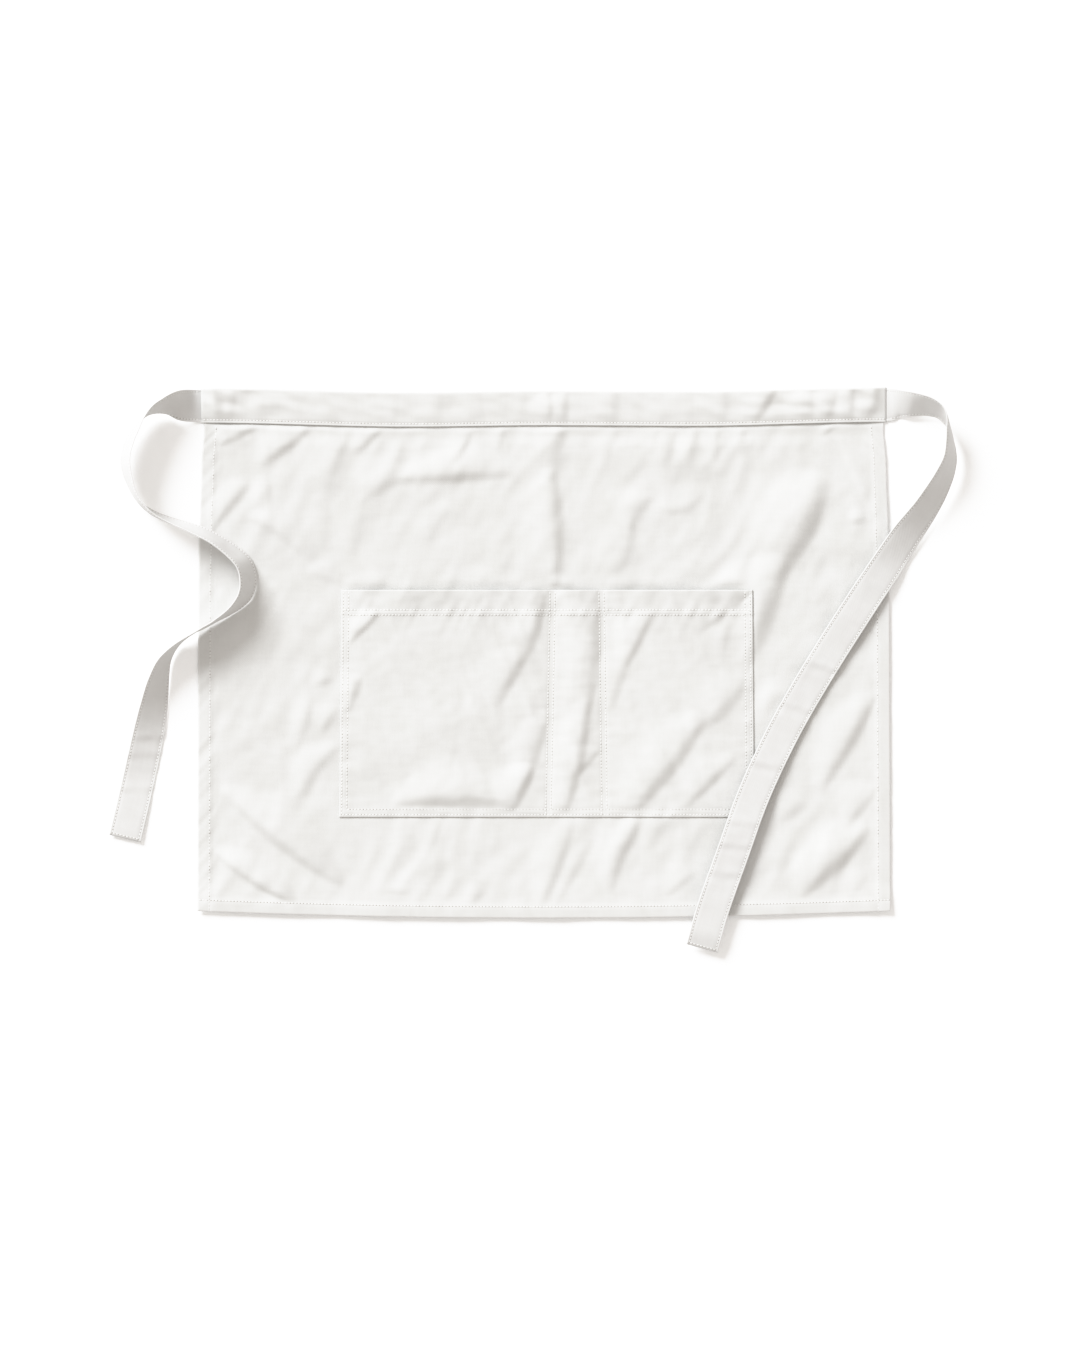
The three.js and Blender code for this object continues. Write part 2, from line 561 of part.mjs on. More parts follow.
// A strap's section with a given roll and curl: points about its middle, up its face and back down its
// back, as sideways and upward distances.
function strapSection(rollDegrees, curlDegrees) {
  const roll = THREE.MathUtils.degToRad(rollDegrees);
  const curl = THREE.MathUtils.degToRad(curlDegrees);
  const halfThick = TIE_THICKNESS / 2;
  const face = [];
  const back = [];
  for (const share of evenSteps(-0.5, 0.5, STRAP_POINTS - 1)) {
    const angle = roll + curl * share;
    const middle = roll + (curl * share) / 2;
    const reach = TIE_WIDTH * share * chordShare((curl * share) / 2);
    const sideways = reach * Math.cos(middle);
    const upward = reach * Math.sin(middle);
    const normal = [-Math.sin(angle) * halfThick, Math.cos(angle) * halfThick];
    face.push(new THREE.Vector2(sideways + normal[0], upward + normal[1]));
    back.push(new THREE.Vector2(sideways - normal[0], upward - normal[1]));
  }
  return [...face, ...back.reverse()];
}

// Stations along a tie's route, about TIE_STEP apart: place, direction of travel, roll, curl and lift.
function tieStations(route, length, side) {
  const rootY = seamLine(side * BAND_HALF) + SEAM_MARGIN + TIE_WIDTH / 2;
  const place = ({ out, down }) =>
    new THREE.Vector3(side * (BAND_HALF + out * length), rootY - down * length, 0);
  const curve = new THREE.CatmullRomCurve3(route.map(place), false, "centripetal");
  const column = (name, row, share) => lerp(route[row][name], route[row + 1][name], share);
  const stations = [];
  for (let row = 0; row + 1 < route.length; row += 1) {
    const gap = place(route[row]).distanceTo(place(route[row + 1]));
    const steps = Math.max(1, Math.round(gap / TIE_STEP));
    for (const share of evenSteps(0, 1, steps).slice(row === 0 ? 0 : 1)) {
      const at = (row + share) / (route.length - 1);
      stations.push({
        point: curve.getPoint(at),
        travel: curve.getTangent(at),
        roll: column("roll", row, share),
        curl: column("curl", row, share),
        lift: column("lift", row, share),
      });
    }
  }
  return stations;
}

function buildTie(route, length, side) {
  const stations = tieStations(route, length, side);
  // Sideways is towards the waist where the strap leaves the waistband.
  const placeSection = (station, outline, height) => outline.map((point) => new THREE.Vector3(
    station.point.x - side * station.travel.y * point.x,
    station.point.y + side * station.travel.x * point.x,
    height + point.y,
  ));
  const outlines = stations.map((station) => strapSection(station.roll, station.curl));
  // The lowest that the middle of each section can lie, so that nothing within a step of it is met
  const steps = evenSteps(-TIE_STEP, TIE_STEP, 4);
  const heights = stations.map((station, i) => {
    const points = placeSection(station, outlines[i], 0);
    const clear = points.flatMap((point) => steps.map((step) => {
      const x = point.x + step * station.travel.x;
      const y = point.y + step * station.travel.y;
      return supportHeight(x, y) - point.z;
    }));
    return Math.max(...clear) + station.lift * TIE_WIDTH;
  });
  const tuckHeight = SLOT_FLOOR + TIE_THICKNESS / 2;
  heights[0] = tuckHeight;
  const tucked = {
    point: stations[0].point.clone().setX(side * (BAND_HALF - TIE_TUCK)),
    travel: new THREE.Vector3(side, 0, 0),
  };
  stations[0].travel.set(side, 0, 0);
  const flat = strapSection(0, 0);
  const sections = [placeSection(tucked, flat, tuckHeight)];
  stations.forEach((station, i) => sections.push(placeSection(station, outlines[i], heights[i])));
  const last = flat.length - 1;
  const caps = evenSteps(0, STRAP_POINTS - 2, STRAP_POINTS - 2).flatMap((i) => [
    [i, i + 1, last - i - 1],
    [i, last - i - 1, last - i],
  ]);
  return loft(sections, caps);
}

// Assembly

function twill(color, roughness) {
  return new THREE.MeshStandardMaterial({ color, roughness, metalness: 0, side: THREE.DoubleSide });
}

const leftTie = buildTie(LEFT_ROUTE, LEFT_TIE_LENGTH, -1);
const rightTie = buildTie(RIGHT_ROUTE, RIGHT_TIE_LENGTH, 1);
const pieces = [
  { name: "front_panel", geometry: buildPanel(), material: twill(0xf5f4f2, 0.9) },
  { name: "waistband", geometry: buildWaistband(), material: twill(0xf1f0ee, 0.88) },
  { name: "patch_pocket", geometry: buildPocket(), material: twill(0xf6f5f3, 0.9) },
  { name: "left_tie", geometry: leftTie, material: twill(0xebe9e6, 0.86) },
  { name: "right_tie", geometry: rightTie, material: twill(0xebe9e6, 0.86) },
];

const apron = new THREE.Group();
for (const piece of pieces) {
  const mesh = new THREE.Mesh(piece.geometry, piece.material);
  mesh.name = piece.name;
  apron.add(mesh);
}

export default apron;
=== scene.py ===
"""A white cotton waist apron lying face up on a pale table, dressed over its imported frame.

Shapes are worked out in millimetres and reach Blender in metres. X runs to the right, Y from the hem to the
waist and Z up from the table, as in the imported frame.
"""

import logging
import math
from collections.abc import Callable
from dataclasses import dataclass, field
from enum import Enum

import bpy
import numpy as np
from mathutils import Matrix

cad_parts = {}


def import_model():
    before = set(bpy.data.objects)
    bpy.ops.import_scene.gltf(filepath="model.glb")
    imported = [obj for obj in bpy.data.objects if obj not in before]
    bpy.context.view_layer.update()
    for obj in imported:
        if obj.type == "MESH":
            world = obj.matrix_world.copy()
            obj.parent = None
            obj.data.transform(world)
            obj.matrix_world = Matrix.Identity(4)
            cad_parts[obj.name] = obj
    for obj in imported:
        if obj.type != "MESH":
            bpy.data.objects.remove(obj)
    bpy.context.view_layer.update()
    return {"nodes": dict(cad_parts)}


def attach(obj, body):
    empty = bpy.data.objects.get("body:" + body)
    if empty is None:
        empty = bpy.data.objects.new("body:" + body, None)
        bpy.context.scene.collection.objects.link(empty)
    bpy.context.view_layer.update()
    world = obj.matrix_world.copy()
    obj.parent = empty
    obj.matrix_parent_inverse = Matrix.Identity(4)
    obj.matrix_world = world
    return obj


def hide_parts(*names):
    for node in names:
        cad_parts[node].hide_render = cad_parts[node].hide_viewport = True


MM = 0.001
HeightField = Callable[[np.ndarray, np.ndarray], np.ndarray]
log = logging.getLogger("waist_apron")


# Plain helpers


def smooth(value: np.ndarray, low: float, high: float) -> np.ndarray:
    """0 below low, 1 above high, and a soft step between them."""
    share = np.clip((value - low) / (high - low), 0.0, 1.0)
    return share * share * (3.0 - 2.0 * share)


def read_table(table: tuple[tuple[float, float], ...], at: np.ndarray) -> np.ndarray:
    """The value of a two-column table, with level tangents at its rows.

    Args:
        table: Rows of key and value, the keys rising.
        at: Places to read it at.

    Returns:
        The values there, held level beyond both ends.
    """
    keys = np.array([row[0] for row in table])
    values = np.array([row[1] for row in table])
    place = np.clip(at, keys[0], keys[-1])
    row = np.clip(np.searchsorted(keys, place, side="right") - 1, 0, len(keys) - 2)
    share = (place - keys[row]) / (keys[row + 1] - keys[row])
    share = share * share * (3.0 - 2.0 * share)
    return values[row] + (values[row + 1] - values[row]) * share


def groove(distance: np.ndarray, depth: float, width: float) -> np.ndarray:
    """Depth of a rounded groove at some distances from its middle."""
    return depth * np.exp(-(distance / width) ** 2)


def linear(hex_colour: str) -> tuple[float, float, float, float]:
    """Linear RGBA of an sRGB colour written as #rrggbb.

    Args:
        hex_colour: The colour.

    Returns:
        Its linear RGBA.
    """
    parts = [int(hex_colour[i:i + 2], 16) / 255.0 for i in (1, 3, 5)]
    bright = [p / 12.92 if p <= 0.04045 else ((p + 0.055) / 1.055) ** 2.4 for p in parts]
    return (*bright, 1.0)


class GradientNoise:
    """Seeded gradient noise over a plane, from about -1 to 1."""

    def __init__(self, seed: int) -> None:
        """Shuffles the lattice.

        Args:
            seed: Any whole number. The same one gives the same noise.
        """
        random = np.random.default_rng(seed)
        self.order = random.permutation(256)
        self.angles = random.uniform(0.0, 2.0 * math.pi, 256)

    def at(self, x: np.ndarray, y: np.ndarray) -> np.ndarray:
        """Noise at places that are given in lattice cells.

        Args:
            x: First coordinates.
            y: Second coordinates, of the same shape.

        Returns:
            The noise, of the same shape.
        """
        column, row = np.floor(x).astype(int), np.floor(y).astype(int)
        right, up = x - column, y - row

        def corner(i: int, j: int) -> np.ndarray:
            """Pull of one corner of each place's cell."""
            angle = self.angles[self.order[(self.order[(column + i) % 256] + row + j) % 256]]
            return np.cos(angle) * (right - i) + np.sin(angle) * (up - j)

        across = right ** 3 * (right * (right * 6.0 - 15.0) + 10.0)
        along = up ** 3 * (up * (up * 6.0 - 15.0) + 10.0)
        low = corner(0, 0) + across * (corner(1, 0) - corner(0, 0))
        high = corner(0, 1) + across * (corner(1, 1) - corner(0, 1))
        return 1.5 * (low + along * (high - low))


@dataclass(frozen=True)
class Relief:
    """Seeded unevenness of the cloth, from zero to about twice its height, in cells of some millimetres."""

    noise: GradientNoise
    height: float
    cell: tuple[float, float]
    shift: tuple[float, float] = (0.0, 0.0)

    def at(self, x: np.ndarray, y: np.ndarray) -> np.ndarray:
        """Heights at some places."""
        column, row = x / self.cell[0] + self.shift[0], y / self.cell[1] + self.shift[1]
        return self.height * (1.0 + self.noise.at(column, row))


# Folds of the cloth

# Widths of a fold's steep and broad side, as shares of its half width, and what its ends keep of them
STEEP_SIDE = 1.2
BROAD_SIDE = 3.5
STEEP_END = 0.55
BROAD_END = 0.25
# Height of a fold of nominal rise 1, how much more a high fold stands up, and how bluntly its ends run out
SWELL = 1.95
RISE_POWER = 1.35
END_POWER = 0.8


@dataclass(frozen=True)
class Fold:
    """A fold, by the line down the middle of its steep side.

    The cloth drops to the left of one who walks from the first end to the second, and falls slowly to the
    right, since laundered cloth leans over. The ends are shares of the piece's width and length from its
    upper left corner, bend is the bow to the left as a share of the line's length, and rise and half_width
    are its nominal height and reach in millimetres.
    """

    x1: float
    y1: float
    x2: float
    y2: float
    bend: float
    rise: float
    half_width: float

    def height(self, x: np.ndarray, y: np.ndarray, width: float, length: float) -> np.ndarray:
        """Height of the fold.

        Args:
            x: Distances from the piece's left edge.
            y: Distances down from its upper edge.
            width: The piece's width.
            length: The piece's length.

        Returns:
            Heights in millimetres.
        """
        run_x, run_y = (self.x2 - self.x1) * width, (self.y2 - self.y1) * length
        run = math.hypot(run_x, run_y)
        off_x, off_y = x - self.x1 * width, y - self.y1 * length
        along = np.clip((off_x * run_x + off_y * run_y) / run ** 2, 0.0, 1.0)
        arch = np.sin(math.pi * along)
        steep = self.half_width * STEEP_SIDE * (STEEP_END + (1.0 - STEEP_END) * arch)
        broad = self.half_width * BROAD_SIDE * (BROAD_END + (1.0 - BROAD_END) * arch)
        aside = (off_x * run_y - off_y * run_x) / run - self.bend * run * arch + steep / math.sqrt(3.0)
        share = np.clip(np.where(aside > 0.0, aside / steep, aside / broad), -1.0, 1.0)
        profile = (1.0 - share * share) ** np.where(aside > 0.0, 2.0, 3.0)
        return SWELL * self.rise ** RISE_POWER * profile * np.abs(arch) ** END_POWER


def folded(folds: tuple[Fold, ...], x: np.ndarray, y: np.ndarray, width: float, length: float) -> np.ndarray:
    """Height of several folds together, with x and y from the piece's upper left corner."""
    return sum((fold.height(x, y, width, length) for fold in folds), 0.0 * x)


# Folds of the skirt and the pocket, placed one by one
PANEL_FOLDS = (
    Fold(0.92, 0.109, 0.843, 0.33, 0.04, 3, 20),
    Fold(0.86, 0.277, 0.807, 0.494, 0, 2.6, 20),
    Fold(0.536, -0.01, 0.514, 0.121, -0.04, 1.6, 13),
    Fold(0.514, 0.092, 0.519, 0.33, 0.04, 2, 12),
    Fold(0.456, 0.107, 0.285, 0.121, 0, 1.8, 11),
    Fold(0.309, 0.113, 0.229, 0.168, -0.08, 1.2, 11),
    Fold(0.241, 0.148, 0.218, 0.285, 0, 0.8, 10),
    Fold(0.665, 0.15, 0.628, 0.227, -0.1, 1.2, 10),
    Fold(0.633, 0.195, 0.602, 0.318, 0.1, 1.3, 11),
    Fold(0.739, 0.143, 0.674, 0.184, 0.15, 1.2, 9),
    Fold(0.082, 0.006, 0.02, 0.049, 0, 1.3, 8),
    Fold(0.156, 0.012, 0.082, 0.09, 0.03, 1.6, 9),
    Fold(0.216, 0.012, 0.176, 0.145, 0.03, 1.1, 11),
    Fold(0.181, 0.154, 0.167, 0.289, 0.08, 0.6, 11),
    Fold(0.265, 0.008, 0.222, 0.068, 0, 1.1, 7),
    Fold(0.069, 0.123, 0.013, 0.217, 0, 1.4, 8),
    Fold(0.094, 0.105, 0.1, 0.186, 0, 0.9, 7),
    Fold(0.159, 0.293, 0.061, 0.193, -0.06, 1.3, 9),
    Fold(0.203, 0.334, 0.15, 0.303, 0, 0.8, 7),
    Fold(0.396, 0.008, 0.369, 0.084, 0.04, 1, 6),
    Fold(0.444, 0, 0.435, 0.059, 0, 0.8, 5),
    Fold(0.614, 0.006, 0.589, 0.084, 0, 0.5, 6),
    Fold(0.671, 0.006, 0.658, 0.064, 0, 0.7, 6),
    Fold(0.698, 0.002, 0.677, 0.133, 0, 0.8, 7),
    Fold(0.727, 0.002, 0.714, 0.096, 0, 0.7, 6),
    Fold(0.759, 0, 0.754, 0.076, 0, 0.9, 5),
    Fold(0.796, 0, 0.792, 0.059, 0, 0.8, 5),
    Fold(0.932, 0, 0.91, 0.029, 0, 0.8, 4),
    Fold(0.973, 0.162, 0.93, 0.027, 0, 0.9, 6),
    Fold(0.977, 0.199, 0.949, 0.205, 0, 0.9, 5),
    Fold(0.362, 0.16, 0.327, 0.254, 0, 0.6, 7),
    Fold(0.288, 0.334, 0.204, 0.334, 0, 0.8, 5),
    Fold(0.472, 0.33, 0.332, 0.33, 0, 0.5, 5),
    Fold(0.543, 0.334, 0.505, 0.334, 0, 1, 4),
    Fold(0.677, 0.334, 0.586, 0.334, 0, 0.6, 5),
    Fold(0.801, 0.33, 0.748, 0.332, 0, 0.9, 5),
    Fold(0.191, 0.525, 0.157, 0.543, 0, 0.8, 5),
    Fold(0.16, 0.539, 0.135, 0.68, 0.05, 0.9, 6),
    Fold(0.2, 0.58, 0.173, 0.639, 0, 1, 6),
    Fold(0.198, 0.662, 0.148, 0.768, -0.06, 1.3, 9),
    Fold(0.2, 0.949, 0.022, 0.75, 0.04, 2.6, 11),
    Fold(0.132, 0.984, 0.013, 0.879, 0.05, 2.3, 8),
    Fold(0.303, 0.963, 0.262, 0.961, 0, 0.5, 3),
    Fold(0.35, 0.811, 0.329, 0.891, 0, 0.8, 6),
    Fold(0.416, 0.955, 0.393, 0.988, 0, 0.6, 5),
    Fold(0.546, 0.807, 0.497, 0.992, 0.03, 1.4, 9),
    Fold(0.645, 0.809, 0.599, 0.967, -0.04, 1.6, 9),
    Fold(0.57, 0.861, 0.518, 0.992, 0, 0.8, 6),
    Fold(0.729, 0.916, 0.68, 0.971, 0, 1, 7),
    Fold(0.991, 0.553, 0.907, 0.76, 0.02, 1.8, 11),
    Fold(0.889, 0.781, 0.845, 0.82, 0, 1, 10),
    Fold(0.994, 0.744, 0.948, 0.83, 0, 1, 9),
    Fold(0.982, 0.83, 0.877, 0.975, 0.03, 2.3, 13),
    Fold(0.977, 0.922, 0.96, 0.961, 0, 0.7, 6),
    Fold(0.857, 0.543, 0.826, 0.602, 0, 0.6, 6),
)
POCKET_FOLDS = (
    Fold(0.622, 0.004, 0.6, 0.564, 0.03, 1.3, 11),
    Fold(0.605, 0.476, 0.542, 1.013, 0.03, 1.6, 10),
    Fold(0.631, 0.7, 0.573, 0.819, 0, 0.8, 6),
    Fold(0.498, 0.009, 0.442, 0.344, 0.03, 1.2, 10),
    Fold(0.454, 0.264, 0.379, 0.52, 0, 1.5, 11),
    Fold(0.505, 0.542, 0.452, 0.872, 0, 1, 9),
    Fold(0.471, 0.775, 0.416, 0.987, 0, 1.8, 10),
    Fold(0.416, 0.947, 0.13, 0.943, -0.02, 2, 13),
    Fold(0.094, 0.101, 0.021, 0.238, 0, 1.3, 6),
    Fold(0.053, 0.374, 0.021, 0.542, 0, 1, 8),
    Fold(0.28, 0.661, 0.268, 0.802, 0, 0.5, 7),
    Fold(0.76, 0.093, 0.694, 0.344, 0, 1.3, 8),
    Fold(0.706, 0.256, 0.655, 0.542, 0, 1.1, 10),
    Fold(0.941, 0.093, 0.869, 0.189, 0, 0.8, 6),
    Fold(0.994, 0.392, 0.852, 0.648, 0.05, 1.3, 13),
    Fold(0.885, 0.559, 0.701, 0.991, 0.04, 1.9, 14),
    Fold(0.944, 0.145, 0.922, 0.352, 0, 0.6, 7),
    Fold(0.958, 0.74, 0.832, 0.965, 0, 1.3, 9),
)
# Creases across the waistband, in shares of its length and its height from its upper left corner
BAND_CREASES = (
    Fold(0.01562, -0.105, 0.03022, 1.2, 0.05, 1, 9),
    Fold(0.05066, -0.105, 0.0419, 1.2, 0, 0.8, 8),
    Fold(0.1704, -0.105, 0.2112, 1.2, 0, 0.8, 9),
    Fold(0.2828, -0.105, 0.2857, 1.2, 0, 0.45, 9),
    Fold(0.3485, -0.105, 0.3441, 1.2, 0, 0.45, 10),
    Fold(0.4069, -0.105, 0.4127, 1.2, 0, 0.4, 9),
    Fold(0.4726, -0.105, 0.4682, 1.2, 0, 0.4, 8),
    Fold(0.5076, 0.0085, 0.5076, 1.08, 0.05, 1.1, 7),
    Fold(0.5339, 0.0085, 0.5353, 1.14, -0.04, 1.1, 8),
    Fold(0.6069, -0.105, 0.6039, 1.2, 0, 0.8, 10),
    Fold(0.7134, -0.105, 0.7178, 1.2, 0, 0.7, 12),
    Fold(0.7674, -0.105, 0.7631, 1.2, 0, 0.7, 10),
    Fold(0.8404, -0.0482, 0.8069, 1.03, 0, 1.3, 9),
    Fold(0.8915, -0.105, 0.8915, 1.2, 0, 0.8, 8),
    Fold(0.9295, -0.0482, 0.9134, 1.2, 0, 1, 8),
    Fold(0.9514, -0.0482, 0.9485, 1.2, 0, 1, 7),
    Fold(0.9908, -0.0482, 0.9733, 1.2, 0, 0.8, 8),
)
# Places of the creases across the ties, in millimetres from the hidden end of each
LEFT_MARKS = (505.0, 523.0, 558.0)
RIGHT_MARKS = (364.0, 412.0, 477.0, 539.0, 563.0, 593.0)
# Share of the waist seam's bow and of the sides' flare, by the share of the way along
SEAM_SHAPE = ((0.0, 0.0), (0.3, 1.0), (0.5, 0.65), (0.72, 0.8), (1.0, -0.2))
SIDE_SHAPE = ((0.0, 0.0), (0.09, 0.42), (0.22, 0.7), (0.34, 0.88), (1.0, 1.0))


@dataclass(frozen=True)
class Station:
    """A place on a tie's route.

    out runs sideways from the end of the waistband and down towards the hem, as shares of the tie's length.
    roll is how far the strap has turned about its run in degrees, curl how much its section bends between its
    edges in degrees, and lift how high its lower edge stands off what is under it, as a share of its width.
    """

    out: float
    down: float
    roll: float
    curl: float
    lift: float


WAVES = GradientNoise(11)
CREASES = GradientNoise(23)
CRUMBS = GradientNoise(37)


@dataclass(frozen=True)
class ApronShape:
    """Sizes of the apron in millimetres, and the heights of its cloth over the table."""

    cloth: float = 1.0
    fit: float = 0.3  # between two sewn layers
    drape: float = 0.5  # between a strap and what it lies on
    hem_lift: float = 5.4  # of the bottom edge, off the table
    hem_level: tuple[float, float] = (0.7, 0.3)  # mean share of that lift, and how it varies along the hem
    lifted_zone: float = 45.0
    lifted_sides: tuple[float, float] = (0.15, 0.35)  # share of that lift at the left and the right side
    lift_ramp: float = 60.0
    hem_slope: float = 2.6
    edge_round: float = 2.2
    edge_drop: float = 0.8
    hem_step: float = 0.75
    hem_groove: float = 0.28
    groove_width: float = 1.3
    row_inset: float = 1.8  # of a hem's row of stitches from the turned edge
    hem_fade: tuple[float, float] = (-3.0, 9.0)  # where a hem's dents run out, from the turned edge
    panel_width: float = 679.0
    panel_length: float = 488.0
    side_flare: float = 7.0
    hem_bow: float = 7.0
    seam_bow: float = 4.0
    side_hem: float = 14.0
    bottom_hem: float = 13.0
    seam_ramp: float = 13.0
    wrinkle_ramp: float = 22.0
    fold_ramp: float = 7.0
    pressed_zone: tuple[float, float] = (-6.0, 40.0)  # from an ironed edge, where wrinkles come back
    gather_ramp: float = 5.0
    gather_fade: float = 17.0
    gather_lean: float = 0.2
    gather_zone: tuple[float, float] = (60.0, 280.0)  # left of the middle, where gathers grow to double
    side_lean: float = 1.1
    hem_lean: float = 0.4
    pocket_width: float = 413.0
    pocket_length: float = 227.0
    pocket_drop: float = 167.0
    pocket_shift: float = 3.0
    pocket_flare: float = 2.0
    pocket_hem: float = 23.0
    pocket_step: float = 0.35
    pocket_fade: tuple[float, float] = (-26.0, 6.0)  # where the skirt's relief runs out, from its edge
    divider_lean: tuple[float, float] = (-4.5, 2.5)  # of each divider, from the mouth to the bottom
    divider_top: tuple[float, float] = (3.5, -0.5)  # shift of each divider at the mouth
    pocket_groove: float = 0.15
    gape_share: float = 0.8  # of the pocket's length, over which the gapes close
    sewn_ramp: float = 14.0
    calm_rim: float = 26.0
    calm_seam: float = 24.0
    calm_share: float = 0.35  # of the wrinkles, at a divider
    pucker_ramp: float = 7.0
    pucker_fade: float = 14.0
    pull_fade: float = 11.0
    pull_lean: float = 0.5
    sew_rim: float = 2.4
    rows_apart: float = 5.2
    mouth_row: float = 20.0
    slot_floor: float = 1.3
    tie_width: float = 32.5
    tie_thickness: float = 1.2
    seam_margin: float = 0.9
    band_overhang: float = 3.0
    dividers: tuple[float, float] = (209.0, 262.0)
    gapes: tuple[float, float, float] = (2.4, 1.0, 2.4)
    slant: float = 62.0  # of the creases, in degrees
    crease_height: float = 1.25
    crease_cell: tuple[float, float] = (62.0, 21.0)
    broad_waves: Relief = Relief(WAVES, 1.1, (84.0, 67.0))
    patches: Relief = Relief(WAVES, 0.5, (120.0, 95.0), (7.3, 2.1))
    crumples: Relief = Relief(CRUMBS, 1.5, (31.0, 17.0), (4.4, 0.0))
    crumbs: Relief = Relief(CRUMBS, 0.2, (11.0, 9.0))
    gathers: Relief = Relief(CRUMBS, 0.8, (12.5, 60.0), (0.0, 0.5))
    side_dents: Relief = Relief(CREASES, 0.6, (8.0, 1.0), (0.0, 0.5))
    hem_dents: Relief = Relief(CREASES, 0.42, (10.0, 1.0), (0.0, 8.5))
    seam_puckers: Relief = Relief(CRUMBS, 0.55, (7.0, 30.0), (0.0, 4.0))
    mouth_pulls: Relief = Relief(CRUMBS, 0.95, (9.0, 1.0), (0.0, 0.5))

    @property
    def seam_y(self) -> float:
        """Y of the waist seam at the panel's corners."""
        return self.panel_length / 2.0

    @property
    def pocket_top(self) -> float:
        """Y of the pocket's mouth."""
        return self.seam_y - self.pocket_drop

    @property
    def band_half(self) -> float:
        """Half the length of the waistband."""
        return self.panel_width / 2.0 + self.band_overhang

    def seam_line(self, x: np.ndarray) -> np.ndarray:
        """Y of the waist seam."""
        return self.seam_y - self.seam_bow * read_table(SEAM_SHAPE, x / self.panel_width + 0.5)

    def hem_line(self, x: np.ndarray) -> np.ndarray:
        """Y of the bottom hem's edge."""
        across = np.clip(x / (self.panel_width + 2.0 * self.side_flare) + 0.5, 0.0, 1.0)
        return -self.seam_y - self.hem_bow * 4.0 * across * (1.0 - across)

    def half_width(self, y: np.ndarray) -> np.ndarray:
        """Half the width of the panel."""
        down = (self.seam_y - y) / self.panel_length
        return self.panel_width / 2.0 + self.side_flare * read_table(SIDE_SHAPE, down)

    def wrinkles(self, x: np.ndarray, y: np.ndarray) -> np.ndarray:
        """Soft waves, slanting creases and small crumples of laundered twill.

        Args:
            x: X of the places.
            y: Y of the places.

        Returns:
            Heights in millimetres, never below zero.
        """
        slant = math.radians(self.slant)
        along = x * math.cos(slant) + y * math.sin(slant)
        across = -x * math.sin(slant) + y * math.cos(slant)
        crease = CREASES.at(along / self.crease_cell[0], across / self.crease_cell[1])
        ridge = self.crease_height * (1.0 - np.sqrt(crease ** 2 + 0.01)) ** 2
        slanting = (ridge + self.crumples.at(along, across)) * self.patches.at(x, y)
        return self.broad_waves.at(x, y) + slanting + self.crumbs.at(x, y)

    def beside_pocket(self, x: np.ndarray, y: np.ndarray) -> np.ndarray:
        """0 under the middle of the pocket, rising to 1 just outside its edges.

        Args:
            x: X of the places.
            y: Y of the places.

        Returns:
            Shares from 0 to 1.
        """
        aside = np.abs(x - self.pocket_shift) - (self.pocket_width / 2.0 + self.pocket_flare / 2.0)
        outside = np.maximum(aside, np.maximum(y - self.pocket_top, self.pocket_top - self.pocket_length - y))
        return smooth(outside, *self.pocket_fade)

    def panel_lift(self, x: np.ndarray, y: np.ndarray) -> np.ndarray:
        """How far the underside of the panel stands off the table.

        Args:
            x: X of the places.
            y: Y of the places.

        Returns:
            Heights in millimetres.
        """
        below_seam = self.seam_line(x) - y
        ramp = self.slot_floor * (1.0 - smooth(below_seam, 0.0, self.seam_ramp))
        from_corner = x + self.panel_width / 2.0, self.seam_y - y
        folds = folded(PANEL_FOLDS, *from_corner, self.panel_width, self.panel_length)
        gathers = self.gathers.at(x + self.gather_lean * y, below_seam)
        gathers *= 1.0 + smooth(-x, *self.gather_zone)
        gathers *= np.exp(-np.maximum(below_seam, 0.0) / self.gather_fade)
        from_side = self.half_width(y) - np.abs(x)
        from_hem = y - self.hem_line(x)
        creased = smooth(np.minimum(from_side, from_hem), *self.pressed_zone)
        relief = self.wrinkles(x, y) * creased * smooth(below_seam, 0.0, self.wrinkle_ramp)
        relief += folds * smooth(below_seam, 0.0, self.fold_ramp)
        relief += gathers * smooth(below_seam, 0.0, self.gather_ramp)
        relief += self.roping(x, y, from_side, from_hem) * smooth(below_seam, 0.0, self.seam_ramp)
        level = self.hem_level[0] + self.hem_level[1] * WAVES.at(x / 70.0 + 3.1, 0.4 + 0.0 * y)
        to_side = np.where(x > 0.0, self.lifted_sides[1], self.lifted_sides[0])
        to_side *= 1.0 - smooth(from_side, 0.0, self.lifted_zone)
        raised = self.hem_lift * level * np.maximum(1.0 - smooth(from_hem, 0.0, self.lifted_zone), to_side)
        raised *= smooth(below_seam, 0.0, self.lift_ramp)
        return ramp + (relief + raised) * self.beside_pocket(x, y)

    def roping(self, x: np.ndarray, y: np.ndarray, from_side: np.ndarray, from_hem: np.ndarray) -> np.ndarray:
        """The slanting dents that a stitched hem is pulled into.

        Args:
            x: X of the places.
            y: Y of the places.
            from_side: Distances from the side edge.
            from_hem: Distances from the bottom edge.

        Returns:
            Heights in millimetres.
        """
        slanted = self.side_dents.at(y - self.side_lean * np.abs(from_side), np.sign(x) * 3.0)
        upright = self.hem_dents.at(x + self.hem_lean * from_hem, 0.0 * y)
        beside = 1.0 - smooth(from_side - self.side_hem, *self.hem_fade)
        below = 1.0 - smooth(from_hem - self.bottom_hem, *self.hem_fade)
        return slanted * beside * (1.0 - below) + upright * below

